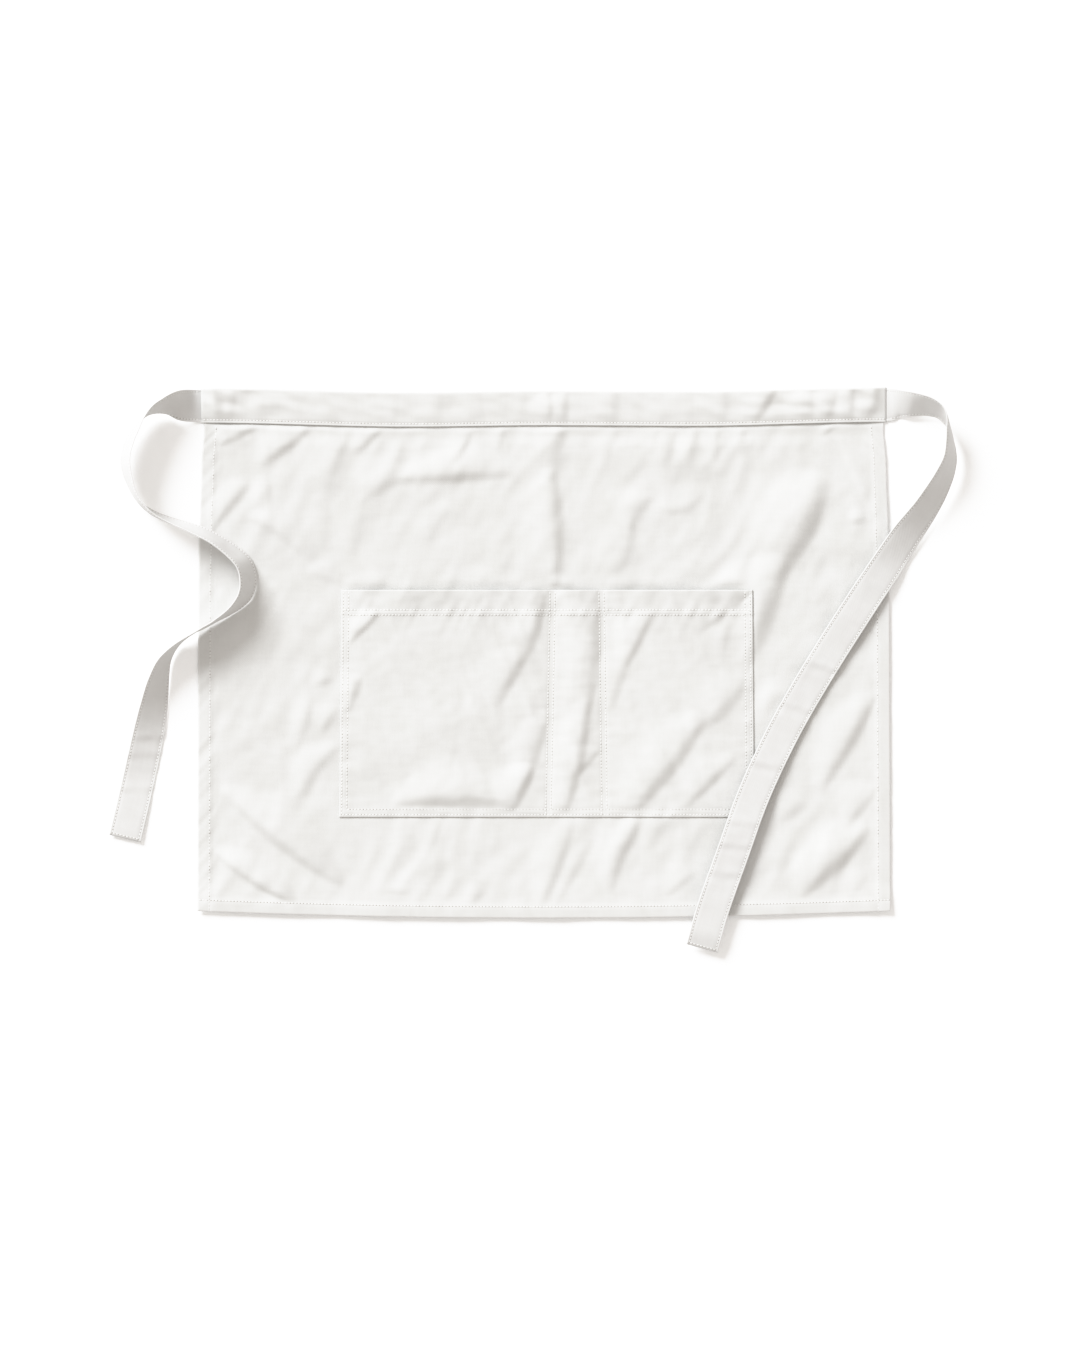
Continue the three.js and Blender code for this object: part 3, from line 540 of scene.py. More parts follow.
    def panel_top(self, x: np.ndarray, y: np.ndarray) -> np.ndarray:
        """Height of the panel's upper face.

        Args:
            x: X of the places.
            y: Y of the places.

        Returns:
            Heights in millimetres.
        """
        from_side = self.half_width(y) - np.abs(x)
        from_hem = y - self.hem_line(x)
        side = 1.0 - np.clip((from_side - self.side_hem) / self.hem_slope + 0.5, 0.0, 1.0)
        bottom = 1.0 - np.clip((from_hem - self.bottom_hem) / self.hem_slope + 0.5, 0.0, 1.0)
        in_band = smooth(self.seam_line(x) - y, 0.0, self.seam_ramp)
        hems = self.hem_step * np.maximum(side * in_band, bottom)
        from_row = np.minimum(np.abs(from_side - self.side_hem + self.row_inset),
                              np.abs(from_hem - self.bottom_hem + self.row_inset))
        row = groove(from_row, self.hem_groove, self.groove_width)
        inward = np.clip(np.minimum(from_side, from_hem) / self.edge_round, 0.0, 1.0)
        rounding = self.edge_drop * (1.0 - np.sqrt(1.0 - (1.0 - inward) ** 2)) * in_band
        return self.panel_lift(x, y) + self.cloth + hems - row * in_band - rounding

    def pocket_half(self, down: np.ndarray) -> np.ndarray:
        """Half the pocket's width at a share of its length."""
        return self.pocket_width / 2.0 + self.pocket_flare * (2.0 * down - 1.0) / 2.0

    def divider_lines(self, from_mouth: np.ndarray) -> tuple[np.ndarray, np.ndarray]:
        """Distances of the two sewn dividers from the pocket's left edge; they lean a little.

        Args:
            from_mouth: Distances from its mouth.

        Returns:
            The distances of the first and of the second.
        """
        down = from_mouth / self.pocket_length
        first, second = (
            line + top + lean * down
            for line, top, lean in zip(self.dividers, self.divider_top, self.divider_lean)
        )
        return first, second

    def from_dividers(self, from_left: np.ndarray, from_mouth: np.ndarray) -> np.ndarray:
        """Distance from the nearest divider."""
        first, second = self.divider_lines(from_mouth)
        return np.minimum(np.abs(from_left - first), np.abs(from_left - second))

    def pocket_rise(self, from_left: np.ndarray, from_mouth: np.ndarray) -> np.ndarray:
        """How high the pocket's inner face stands over the panel.

        Args:
            from_left: Distances from its left edge.
            from_mouth: Distances from its mouth.

        Returns:
            Heights in millimetres.
        """
        limits = (self.sew_rim, *self.divider_lines(from_mouth), self.pocket_width - self.sew_rim)
        from_bottom = self.pocket_length - from_mouth
        gape = 0.0 * from_left
        for low, high, most in zip(limits[:-1], limits[1:], self.gapes):
            share = np.clip((2.0 * from_left - low - high) / (high - low), -1.0, 1.0)
            gape += most * (1.0 - share ** 2) ** 2
        gape *= smooth(from_bottom, self.sew_rim, self.pocket_length * self.gape_share)
        folds = folded(POCKET_FOLDS, from_left, from_mouth, self.pocket_width, self.pocket_length)
        rim = np.minimum(np.minimum(from_left, self.pocket_width - from_left), from_bottom)
        seam = self.from_dividers(from_left, from_mouth)
        sewing = np.minimum(seam, rim)
        rough = self.wrinkles(from_left + 900.0, from_mouth + 500.0)  # another stretch of the same noise
        puckers = self.seam_puckers.at(from_mouth, from_left)
        puckers *= smooth(sewing, 0.0, self.pucker_ramp) * np.exp(-sewing / self.pucker_fade)
        pulls = self.mouth_pulls.at(from_left + self.pull_lean * from_mouth, 0.0 * from_mouth)
        pulls *= np.exp(-np.abs(from_mouth - self.pocket_hem) / self.pull_fade)
        calm = self.calm_share + (1.0 - self.calm_share) * smooth(seam, 0.0, self.calm_seam)
        calm *= smooth(rim, 0.0, self.calm_rim)
        return gape + folds * smooth(rim, 1.0, self.sewn_ramp) + (rough + pulls) * calm + puckers

    def pocket_under(self, x: np.ndarray, y: np.ndarray) -> np.ndarray:
        """Height of the pocket's inner face.

        Args:
            x: X of the places.
            y: Y of the places.

        Returns:
            Heights in millimetres.
        """
        down = (self.pocket_top - y) / self.pocket_length
        share = (x - self.pocket_shift) / self.pocket_half(down)
        rise = self.pocket_rise((share + 1.0) / 2.0 * self.pocket_width, down * self.pocket_length)
        return self.panel_top(x, y) + self.fit + np.maximum(rise, 0.0)

    def pocket_top_face(self, x: np.ndarray, y: np.ndarray) -> np.ndarray:
        """Height of the pocket's outer face, with its turned edges and the grooves of its seams.

        Args:
            x: X of the places.
            y: Y of the places.

        Returns:
            Heights in millimetres.
        """
        down = (self.pocket_top - y) / self.pocket_length
        half = self.pocket_half(down)
        from_left = ((x - self.pocket_shift) / half + 1.0) / 2.0 * self.pocket_width
        from_mouth = down * self.pocket_length
        side = np.minimum(from_left, self.pocket_width - from_left)
        rim = np.minimum(side, self.pocket_length - from_mouth)
        turned = self.pocket_step * (1.0 - smooth(from_mouth, self.pocket_hem + 1.0, self.pocket_hem + 4.0))
        half_gap = self.rows_apart / 2.0
        seam = np.abs(self.from_dividers(from_left, from_mouth) - half_gap)
        outer = np.abs(rim - self.sew_rim - half_gap) - half_gap
        mouth = np.abs(from_mouth - self.mouth_row - half_gap) - half_gap
        stitched = np.minimum(seam, np.minimum(np.abs(outer), np.abs(mouth)))
        return self.pocket_under(x, y) + self.cloth + turned - groove(stitched, self.pocket_groove, 1.1)

    def support(self, x: np.ndarray, y: np.ndarray) -> np.ndarray:
        """The height that a strap has to clear: the table, the panel or the pocket.

        Args:
            x: X of the places.
            y: Y of the places.

        Returns:
            Heights in millimetres.
        """
        on_panel = (np.abs(x) - self.half_width(y) < self.fit) & (y > self.hem_line(x) - self.fit)
        on_panel &= y < self.seam_line(x)
        height = np.where(on_panel, self.panel_top(x, y) + self.drape, 0.0)
        down = (self.pocket_top - y) / self.pocket_length
        from_mouth = np.clip(self.pocket_top - y, 0.0, self.pocket_length)
        half = self.pocket_half(down)
        on_pocket = np.abs(x - self.pocket_shift) - half < self.fit
        on_pocket &= np.abs(self.pocket_top - y - from_mouth) < self.fit
        inside = self.pocket_shift + np.clip(x - self.pocket_shift, -half, half)
        over = self.pocket_top_face(inside, self.pocket_top - from_mouth) + self.drape
        return np.where(on_pocket, np.maximum(height, over), height)


# Routes of the straps, from the end of the band to their own ends
LEFT_ROUTE = (
    Station(0.0, 0.0, 0, 0, 0.04),
    Station(0.031, 0.0, 34, 0, 0.05),
    Station(0.056, 0.001, 58, 0, 0.1),
    Station(0.074, 0.006, 74, 0, 0.16),
    Station(0.089, 0.016, 89, 0, 0.22),
    Station(0.104, 0.035, 101, 0, 0.28),
    Station(0.119, 0.063, 108, 0, 0.32),
    Station(0.125, 0.093, 109, 0, 0.34),
    Station(0.12, 0.124, 105, 10, 0.33),
    Station(0.11, 0.152, 97, 35, 0.3),
    Station(0.089, 0.177, 88, 55, 0.24),
    Station(0.056, 0.193, 80, 40, 0.17),
    Station(0.018, 0.205, 73, 20, 0.1),
    Station(-0.019, 0.22, 69, 0, 0.04),
    Station(-0.05, 0.241, 65, 0, 0.0),
    Station(-0.072, 0.264, 60, 0, 0.0),
    Station(-0.079, 0.291, 60, 0, 0.0),
    Station(-0.074, 0.316, 66, 0, 0.0),
    Station(-0.054, 0.339, 79, 0, 0.0),
    Station(-0.023, 0.36, 88, 0, 0.03),
    Station(0.011, 0.379, 90, 0, 0.08),
    Station(0.034, 0.394, 87, 0, 0.08),
    Station(0.05, 0.41, 79, 0, 0.06),
    Station(0.062, 0.43, 66, 0, 0.03),
    Station(0.071, 0.461, 50, 0, 0.0),
    Station(0.078, 0.5, 33, 0, 0.0),
    Station(0.087, 0.545, 16, 0, 0.0),
    Station(0.099, 0.6, 4, 0, 0.0),
    Station(0.112, 0.657, 0, 0, 0.04),
    Station(0.127, 0.721, 0, 0, 0.1),
)
RIGHT_ROUTE = (
    Station(0.0, 0.0, 0, 0, 0.04),
    Station(0.022, -0.001, 32, 0, 0.05),
    Station(0.043, 0.0, 44, 0, 0.08),
    Station(0.064, 0.002, 55, 12, 0.12),
    Station(0.081, 0.009, 67, 32, 0.15),
    Station(0.0915, 0.022, 82, 55, 0.18),
    Station(0.0965, 0.038, 97, 50, 0.2),
    Station(0.098, 0.059, 108, 25, 0.2),
    Station(0.096, 0.084, 118, 10, 0.18),
    Station(0.083, 0.116, 130, 0, 0.14),
    Station(0.06, 0.156, 142, 0, 0.08),
    Station(0.031, 0.196, 158, 0, 0.03),
    Station(-0.002, 0.246, 172, 0, 0.0),
    Station(-0.036, 0.297, 180, 0, 0.13),
    Station(-0.111, 0.416, 180, 0, 0.05),
    Station(-0.158, 0.499, 180, 0, 0.03),
    Station(-0.202, 0.593, 180, 0, 0.12),
    Station(-0.232, 0.676, 180, 0, 0.24),
    Station(-0.265, 0.77, 180, 0, 0.14),
    Station(-0.2795, 0.823, 180, 0, 0.2),
)


# Meshes


def facing_out(points: np.ndarray, faces: list) -> list:
    """The faces of a closed body, turned so that they face out.

    Args:
        points: Corner points.
        faces: Lists of corner indices, all turned the same way.

    Returns:
        The same faces, or each of them reversed.
    """
    volume = 0.0
    for i in range(1, max(len(face) for face in faces) - 1):
        part = np.array([(face[0], face[i], face[i + 1]) for face in faces if len(face) > i + 1])
        a, b, c = (points[part[:, k]] for k in range(3))
        volume += float((a * np.cross(b, c)).sum())
    return faces if volume > 0.0 else [face[::-1] for face in faces]


def place_mesh(name: str, points: np.ndarray, faces: list) -> bpy.types.Object:
    """A smooth-shaded mesh object, linked to the scene.

    Args:
        name: Its name.
        points: Corner points in millimetres.
        faces: Lists of corner indices.

    Returns:
        The new object.
    """
    mesh = bpy.data.meshes.new(name)
    mesh.from_pydata((points * MM).tolist(), [], faces)
    mesh.polygons.foreach_set("use_smooth", np.ones(len(mesh.polygons), bool))
    mesh.update()
    made = bpy.data.objects.new(name, mesh)
    bpy.context.scene.collection.objects.link(made)
    return made


def cloth_object(name: str, points: np.ndarray, faces: list, uv: np.ndarray,
                 edge: np.ndarray) -> bpy.types.Object:
    """A closed body of cloth, with what its weave needs to know.

    Args:
        name: Its name.
        points: Corner points in millimetres.
        faces: Lists of corner indices.
        uv: Place of each corner in the flat cloth, in metres.
        edge: Share of painted highlight at each corner, by how near it is to a folded edge, 0 to 1.

    Returns:
        The new object.
    """
    made = place_mesh(name, points, facing_out(points, faces))
    mesh = made.data
    layer = mesh.uv_layers.new(name="cloth")
    corner = np.zeros(len(mesh.loops), np.int32)
    mesh.loops.foreach_get("vertex_index", corner)
    layer.data.foreach_set("uv", uv[corner].astype(np.float32).ravel())
    # Painted highlight: how much of the lighter edge tone each corner gets
    mark = mesh.attributes.new("folded_edge_highlight", "FLOAT", "POINT")
    mark.data.foreach_set("value", edge.astype(np.float32))
    return made


def quads(grid: np.ndarray) -> list:
    """The cells of a grid of corner indices, as lists of four."""
    corners = [grid[:-1, :-1], grid[1:, :-1], grid[1:, 1:], grid[:-1, 1:]]
    return np.stack(corners, axis=-1).reshape(-1, 4).tolist()


def closed_sheet(name: str, top: np.ndarray, bottom: np.ndarray, edge: np.ndarray) -> bpy.types.Object:
    """A closed sheet of cloth from two grids of points, one over the other.

    Args:
        name: Its name.
        top: Rows of points of the upper face.
        bottom: The lower face, in the same way.
        edge: Share of painted highlight at each point, by how near it is to a folded edge, in the shape of
            the grid.

    Returns:
        The new object.
    """
    rows, columns = top.shape[:2]
    upper = np.arange(rows * columns).reshape(rows, columns)
    lower = upper + rows * columns
    faces = quads(upper) + quads(lower[::-1])
    faces += quads(np.stack([lower[:, 0], upper[:, 0]], axis=1))
    faces += quads(np.stack([upper[:, -1], lower[:, -1]], axis=1))
    faces += quads(np.stack([lower[0], upper[0]]))
    faces += quads(np.stack([upper[-1], lower[-1]]))
    points = np.concatenate([top.reshape(-1, 3), bottom.reshape(-1, 3)])
    return cloth_object(name, points, faces, points[:, :2] * MM, np.tile(edge.ravel(), 2))


def loft(name: str, sections: np.ndarray, caps: list, uv: np.ndarray, edge: np.ndarray) -> bpy.types.Object:
    """A closed body through sections with the same number of points.

    Args:
        name: Its name.
        sections: Sections of points.
        caps: Faces that close a section, as indices of its points.
        uv: Place of each point in the flat cloth, in metres, section by section.
        edge: Share of painted highlight at each point, by how near it is to a folded edge, section by
            section.

    Returns:
        The new object.
    """
    stations, count = sections.shape[:2]
    first = np.arange(stations * count).reshape(stations, count)
    last = (stations - 1) * count
    faces = quads(np.concatenate([first, first[:, :1]], axis=1))
    faces += [list(cap) for cap in caps]
    faces += [[last + i for i in reversed(cap)] for cap in caps]
    return cloth_object(name, sections.reshape(-1, 3), faces, uv.reshape(-1, 2), edge.ravel())


def spaced(*stretches: tuple[float, float, float]) -> np.ndarray:
    """Rising distances that fill stretches of (from, to, about this far apart)."""
    parts = [np.linspace(low, high, max(1, round((high - low) / step)) + 1) for low, high, step in stretches]
    return np.unique(np.round(np.concatenate(parts), 4))


@dataclass(frozen=True)
class Thread:
    """Sizes of the stitches, in millimetres."""

    pitch: float = 3.3
    length: float = 2.5
    width: float = 0.95
    height: float = 0.42
    hole: float = 0.5
    corners: int = 6
    rings: tuple[tuple[float, float], ...] = ((-0.78, 0.75), (-0.4, 1.0), (0.4, 1.0), (0.78, 0.75))

    @property
    def turns(self) -> list[float]:
        """Angles of the corners round a stitch or a needle hole."""
        return [2.0 * math.pi * k / self.corners for k in range(self.corners)]

    def capsule(self) -> tuple[list, list]:
        """One stitch, in shares of its half length, its half width and its height.

        Returns:
            Its points and its faces.
        """
        places = [(-1.0, 0.0, -0.1)]
        for along, size in self.rings:
            places += [(along, size * math.cos(turn), size * math.sin(turn)) for turn in self.turns]
        tip = len(places)
        places.append((1.0, 0.0, -0.1))
        end = tip - self.corners
        faces = []
        for k in range(self.corners):
            following = (k + 1) % self.corners
            faces += [[0, 1 + following, 1 + k], [tip, end + k, end + following]]
            for a in range(1, end, self.corners):
                b = a + self.corners
                faces.append([a + k, a + following, b + following, b + k])
        return places, faces

    def needle_hole(self, first: int) -> tuple[list, list]:
        """The dimple that follows a stitch, in the same shares.

        Args:
            first: Index of its first point.

        Returns:
            Its points and its faces.
        """
        reach = self.pitch / self.length
        long, wide = 2.0 * self.hole / self.length, 2.0 * self.hole / self.width
        places = [(reach + long * math.cos(turn), wide * math.sin(turn), 0.05) for turn in self.turns]
        places += [(reach, 0.0, 0.2), (reach, 0.0, -1.2)]
        over = first + self.corners
        faces = []
        for k in range(self.corners):
            near, following = first + k, first + (k + 1) % self.corners
            faces += [[near, following, over], [following, near, over + 1]]
        return places, faces

    def resampled(self, path: np.ndarray, normals: np.ndarray) -> tuple[np.ndarray, np.ndarray, np.ndarray]:
        """Middles, directions and normals of the stitches along a path.

        Args:
            path: Points on the cloth.
            normals: The cloth's normals there.

        Returns:
            Three arrays, one row for each stitch.
        """
        gaps = np.linalg.norm(np.diff(path, axis=0), axis=1)
        reached = np.concatenate([[0.0], np.cumsum(gaps)])
        count = max(1, int(reached[-1] / self.pitch))
        at = (np.arange(count) + 0.5) * reached[-1] / count
        half = self.length / 2.0
        middle, before, after, normal = (
            np.stack([np.interp(place, reached, values[:, k]) for k in range(3)], axis=1)
            for place, values in ((at, path), (at - half, path), (at + half, path), (at, normals))
        )
        run = after - before
        run /= np.linalg.norm(run, axis=1, keepdims=True)
        normal -= run * (normal * run).sum(1, keepdims=True)
        normal /= np.linalg.norm(normal, axis=1, keepdims=True)
        return middle, run, normal

    def mesh(self, name: str, runs: list[tuple[np.ndarray, np.ndarray]]) -> bpy.types.Object:
        """The stitches of several rows and the needle holes between them, joined.

        Args:
            name: The new object's name.
            runs: Paths with their normals.

        Returns:
            The new object. Faces of the needle holes have material index 1.
        """
        parts = [self.resampled(path, normals) for path, normals in runs]
        middle, run, normal = (np.concatenate([part[k] for part in parts]) for k in range(3))
        aside = np.cross(normal, run)
        places, faces = self.capsule()
        hollows, holes = self.needle_hole(len(places))
        local = np.array(places + hollows)
        points = (
            middle[:, None]
            + run[:, None] * (local[:, 0] * self.length / 2.0)[None, :, None]
            + aside[:, None] * (local[:, 1] * self.width / 2.0)[None, :, None]
            + normal[:, None] * (local[:, 2] * self.height)[None, :, None]
        )
        count = len(middle)
        starts = range(0, count * len(local), len(local))
        listed = [[start + corner for corner in face] for start in starts for face in faces + holes]
        made = place_mesh(name, points.reshape(-1, 3), listed)
        kinds = np.tile(np.array([0] * len(faces) + [1] * len(holes), np.int32), count)
        made.data.polygons.foreach_set("material_index", kinds)
        return made


# Finishes


def add_node(tree: bpy.types.NodeTree, kind: str, settings: dict | None = None,
             links: dict | None = None) -> bpy.types.Node:
    """Adds a node with its settings and links.

    Args:
        tree: The node tree.
        kind: The node's type name.
        settings: Values of its own properties, and of its input sockets by name or index.
        links: Output sockets to link to its inputs, by the input's name or index.

    Returns:
        The new node.
    """
    node = tree.nodes.new(kind)
    for name, value in (settings or {}).items():
        if isinstance(name, str) and hasattr(node, name):
            setattr(node, name, value)
        else:
            node.inputs[name].default_value = value
    for name, output in (links or {}).items():
        tree.links.new(output, node.inputs[name])
    return node


def empty_material(name: str) -> tuple[bpy.types.Material, bpy.types.NodeTree]:
    """A new material and its node tree, with no node in it.

    Args:
        name: Its name.

    Returns:
        The material and the tree.
    """
    made = bpy.data.materials.new(name)
    made.use_nodes = True
    made.node_tree.nodes.clear()
    return made, made.node_tree


def matt_material(name: str, tone: str, glow: float = 0.0) -> bpy.types.Material:
    """A material of one even tone, dead matt, with a faint glow of its own where it has one.

    Args:
        name: Its name.
        tone: Its colour, as #rrggbb.
        glow: Strength of its own white light.

    Returns:
        The material.
    """
    made, tree = empty_material(name)
    surface = add_node(
        tree, "ShaderNodeBsdfPrincipled",
        {"Base Color": linear(tone), "Roughness": 1.0, "Specular IOR Level": 0.0,
         "Emission Color": (1.0, 1.0, 1.0, 1.0), "Emission Strength": glow},
    ).outputs[0]
    add_node(tree, "ShaderNodeOutputMaterial", {}, {"Surface": surface})
    return made


class Weave(Enum):
    """How the threads cross."""

    TWILL = "twill"
    PLAIN = "plain"


@dataclass(frozen=True)
class WovenCottonTwill:
    """Bleached cotton twill, woven and laundered.

    The eye gets a matt white that stays soft at grazing angles, faint slubs along both threads, a slight
    unevenness of the bleach, and a painted highlight: a lighter white along edges where the cloth is folded
    and ironed, where they catch the light.
    """

    name: str
    tone: str = "#dad9d7"
    deep_tone: str = "#d5d4d1"
    # painted highlight: the lighter tone of folded edges, where they catch the light
    edge_highlight_tone: str = "#e3e2e0"
    roughness: float = 0.88
    sheen: float = 0.12
    weave: Weave = Weave.TWILL
    rib_mm: float = 1.1  # the real rib is about 0.5 mm; drawn coarser so that it shows
    slub_mm: float = 3.2
    slub_length_mm: float = 26.0
    cloud_mm: float = 46.0

    def build(self) -> bpy.types.Material:
        """Makes the node material.

        Returns:
            The material.
        """
        made, tree = empty_material(self.name)
        place = add_node(tree, "ShaderNodeUVMap", {"uv_map": "cloth"}).outputs["UV"]
        thin, long = 1.0 / (self.slub_mm * MM), 1.0 / (self.slub_length_mm * MM)
        slubs = []
        for scale in ((thin, long, 1.0), (long, thin, 1.0)):
            stretched = add_node(tree, "ShaderNodeMapping", {"Scale": scale}, {"Vector": place})
            noise = {"Scale": 1.0, "Detail": 2.0, "Roughness": 0.6}
            drawn = add_node(tree, "ShaderNodeTexNoise", noise, {"Vector": stretched.outputs[0]})
            slubs.append(drawn.outputs["Fac"])
        slub = add_node(tree, "ShaderNodeMath", {"operation": "ADD"}, {0: slubs[0], 1: slubs[1]}).outputs[0]
        bands = "DIAGONAL" if self.weave is Weave.TWILL else "X"
        ribs = add_node(
            tree, "ShaderNodeTexWave",
            {"bands_direction": bands, "Scale": 0.3 / (self.rib_mm * MM), "Distortion": 1.2, "Detail": 1.0,
             "Detail Scale": 2.0},
            {"Vector": place},
        ).outputs["Fac"]
        cloud = add_node(
            tree, "ShaderNodeTexNoise",
            {"Scale": 1.0 / (self.cloud_mm * MM), "Detail": 4.0, "Roughness": 0.62}, {"Vector": place},
        ).outputs["Fac"]
        uneven = add_node(
            tree, "ShaderNodeMapRange", {"From Min": 0.3, "From Max": 0.7}, {"Value": cloud},
        ).outputs[0]
        base = add_node(
            tree, "ShaderNodeMix",
            {"data_type": "RGBA", 6: linear(self.tone), 7: linear(self.deep_tone)}, {0: uneven},
        ).outputs[2]
        streak = add_node(
            tree, "ShaderNodeMapRange",
            {"From Min": 0.75, "From Max": 1.25, "To Min": 0.988, "To Max": 1.012}, {"Value": slub},
        ).outputs[0]
        streaked = add_node(
            tree, "ShaderNodeVectorMath", {"operation": "SCALE"}, {0: base, "Scale": streak},
        ).outputs[0]
        # Painted highlight: the lighter edge tone is mixed in along folded edges, by the corner attribute
        fold = add_node(tree, "ShaderNodeAttribute", {"attribute_name": "folded_edge_highlight"}).outputs["Fac"]
        colour = add_node(
            tree, "ShaderNodeMix", {"data_type": "RGBA", 7: linear(self.edge_highlight_tone)}, {0: fold, 6: streaked},
        ).outputs[2]
        woven = add_node(
            tree, "ShaderNodeBump", {"Strength": 0.35, "Distance": 0.12 * MM}, {"Height": ribs},
        ).outputs[0]
        relief = add_node(
            tree, "ShaderNodeBump",
            {"Strength": 0.5, "Distance": 0.07 * MM}, {"Height": slub, "Normal": woven},
        ).outputs[0]
        surface = add_node(
            tree, "ShaderNodeBsdfPrincipled",
            {"Roughness": self.roughness, "IOR": 1.5, "Specular IOR Level": 0.25, "Sheen Weight": self.sheen,
             "Sheen Roughness": 0.5},
            {"Base Color": colour, "Normal": relief},
        ).outputs[0]
        add_node(tree, "ShaderNodeOutputMaterial", {}, {"Surface": surface})
        return made


@dataclass(frozen=True)
class SpunCottonThread:
    """Twisted cotton sewing thread, a touch brighter than the cloth that it is pulled into."""

    name: str
    tone: str = "#ecebe9"
    roughness: float = 0.7
    twist_mm: float = 0.7

    def build(self) -> bpy.types.Material:
        """Makes the node material.

        Returns:
            The material.
        """
        made, tree = empty_material(self.name)
        place = add_node(tree, "ShaderNodeTexCoord").outputs["Object"]
        twist = add_node(
            tree, "ShaderNodeTexNoise",
            {"Scale": 1.0 / (self.twist_mm * MM), "Detail": 1.0}, {"Vector": place},
        ).outputs["Fac"]
        relief = add_node(
            tree, "ShaderNodeBump", {"Strength": 0.4, "Distance": 0.1 * MM}, {"Height": twist},
        ).outputs[0]
        surface = add_node(
            tree, "ShaderNodeBsdfPrincipled",
            {"Base Color": linear(self.tone), "Roughness": self.roughness, "IOR": 1.5, "Sheen Weight": 0.1},
            {"Normal": relief},
        ).outputs[0]
        add_node(tree, "ShaderNodeOutputMaterial", {}, {"Surface": surface})
        return made


@dataclass(frozen=True)
class NeedleHoleShade:
    """Painted shade: a dark tone that stands in for the shade in the dimple where a thread goes down into the
    cloth.
    """

    name: str
    tone: str = "#aaa49c"

    def build(self) -> bpy.types.Material:
        """Makes the node material."""
        return matt_material(self.name, self.tone)


@dataclass(frozen=True)
class OpalAcrylicTable:
    """Matt opal acrylic over a faint light, as under studio still lifes: pure white, with light shadows."""

    name: str = "opal_acrylic_table"
    tone: str = "#fdfdfd"
    glow: float = 0.115

    def build(self) -> bpy.types.Material:
        """Makes the node material."""
        return matt_material(self.name, self.tone, self.glow)


# Sub-assemblies


SHAPE = ApronShape()


def surface_normals(height: HeightField, x: np.ndarray, y: np.ndarray) -> np.ndarray:
    """Upward normals of a height field at some places.

    Args:
        height: The height as a function of x and y.
        x: X of the places.
        y: Y of the places.

    Returns:
        Unit normals, one row for each place.
    """
    step = 0.8
    slope_x = (height(x + step, y) - height(x - step, y)) / (2.0 * step)
    slope_y = (height(x, y + step) - height(x, y - step)) / (2.0 * step)
    normals = np.stack([-slope_x, -slope_y, np.ones_like(slope_x)], axis=1)
    return normals / np.linalg.norm(normals, axis=1, keepdims=True)


def stitched_row(height: HeightField, x: np.ndarray, y: np.ndarray) -> tuple[np.ndarray, np.ndarray]:
    """A row of stitches that lies on a height field.

    Args:
        height: The height as a function of x and y.
        x: X of places along the row.
        y: Y of those places.

    Returns:
        The path and its normals.
    """
    path = np.stack([x, y, height(x, y)], axis=1)
    return path, surface_normals(height, x, y)


@dataclass
class SewnPiece:
    """A sheet of cloth with its sewing, and what both are made of."""

    twill: WovenCottonTwill
    thread: SpunCottonThread
    thread_sizes: Thread = field(default_factory=Thread)

    def dress_cloth(self, made: bpy.types.Object, node: str, slot: str) -> bpy.types.Object:
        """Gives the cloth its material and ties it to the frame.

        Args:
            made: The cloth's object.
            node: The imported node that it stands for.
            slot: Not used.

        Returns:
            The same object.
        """
        made.data.materials.append(self.twill.build())
        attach(made, "root")
        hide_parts(node)
        return made

    def sew(self, name: str, rows: list) -> bpy.types.Object:
        """Makes the stitches of some rows.

        Args:
            name: The new object's name.
            rows: Paths with their normals.

        Returns:
            The stitches, as one object.
        """
        made = self.thread_sizes.mesh(name, rows)
        made.data.materials.append(self.thread.build())
        # Material index 1: painted shade of the needle holes
        made.data.materials.append(NeedleHoleShade(name + "_needle_hole_shade").build())
        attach(made, "root")
        return made


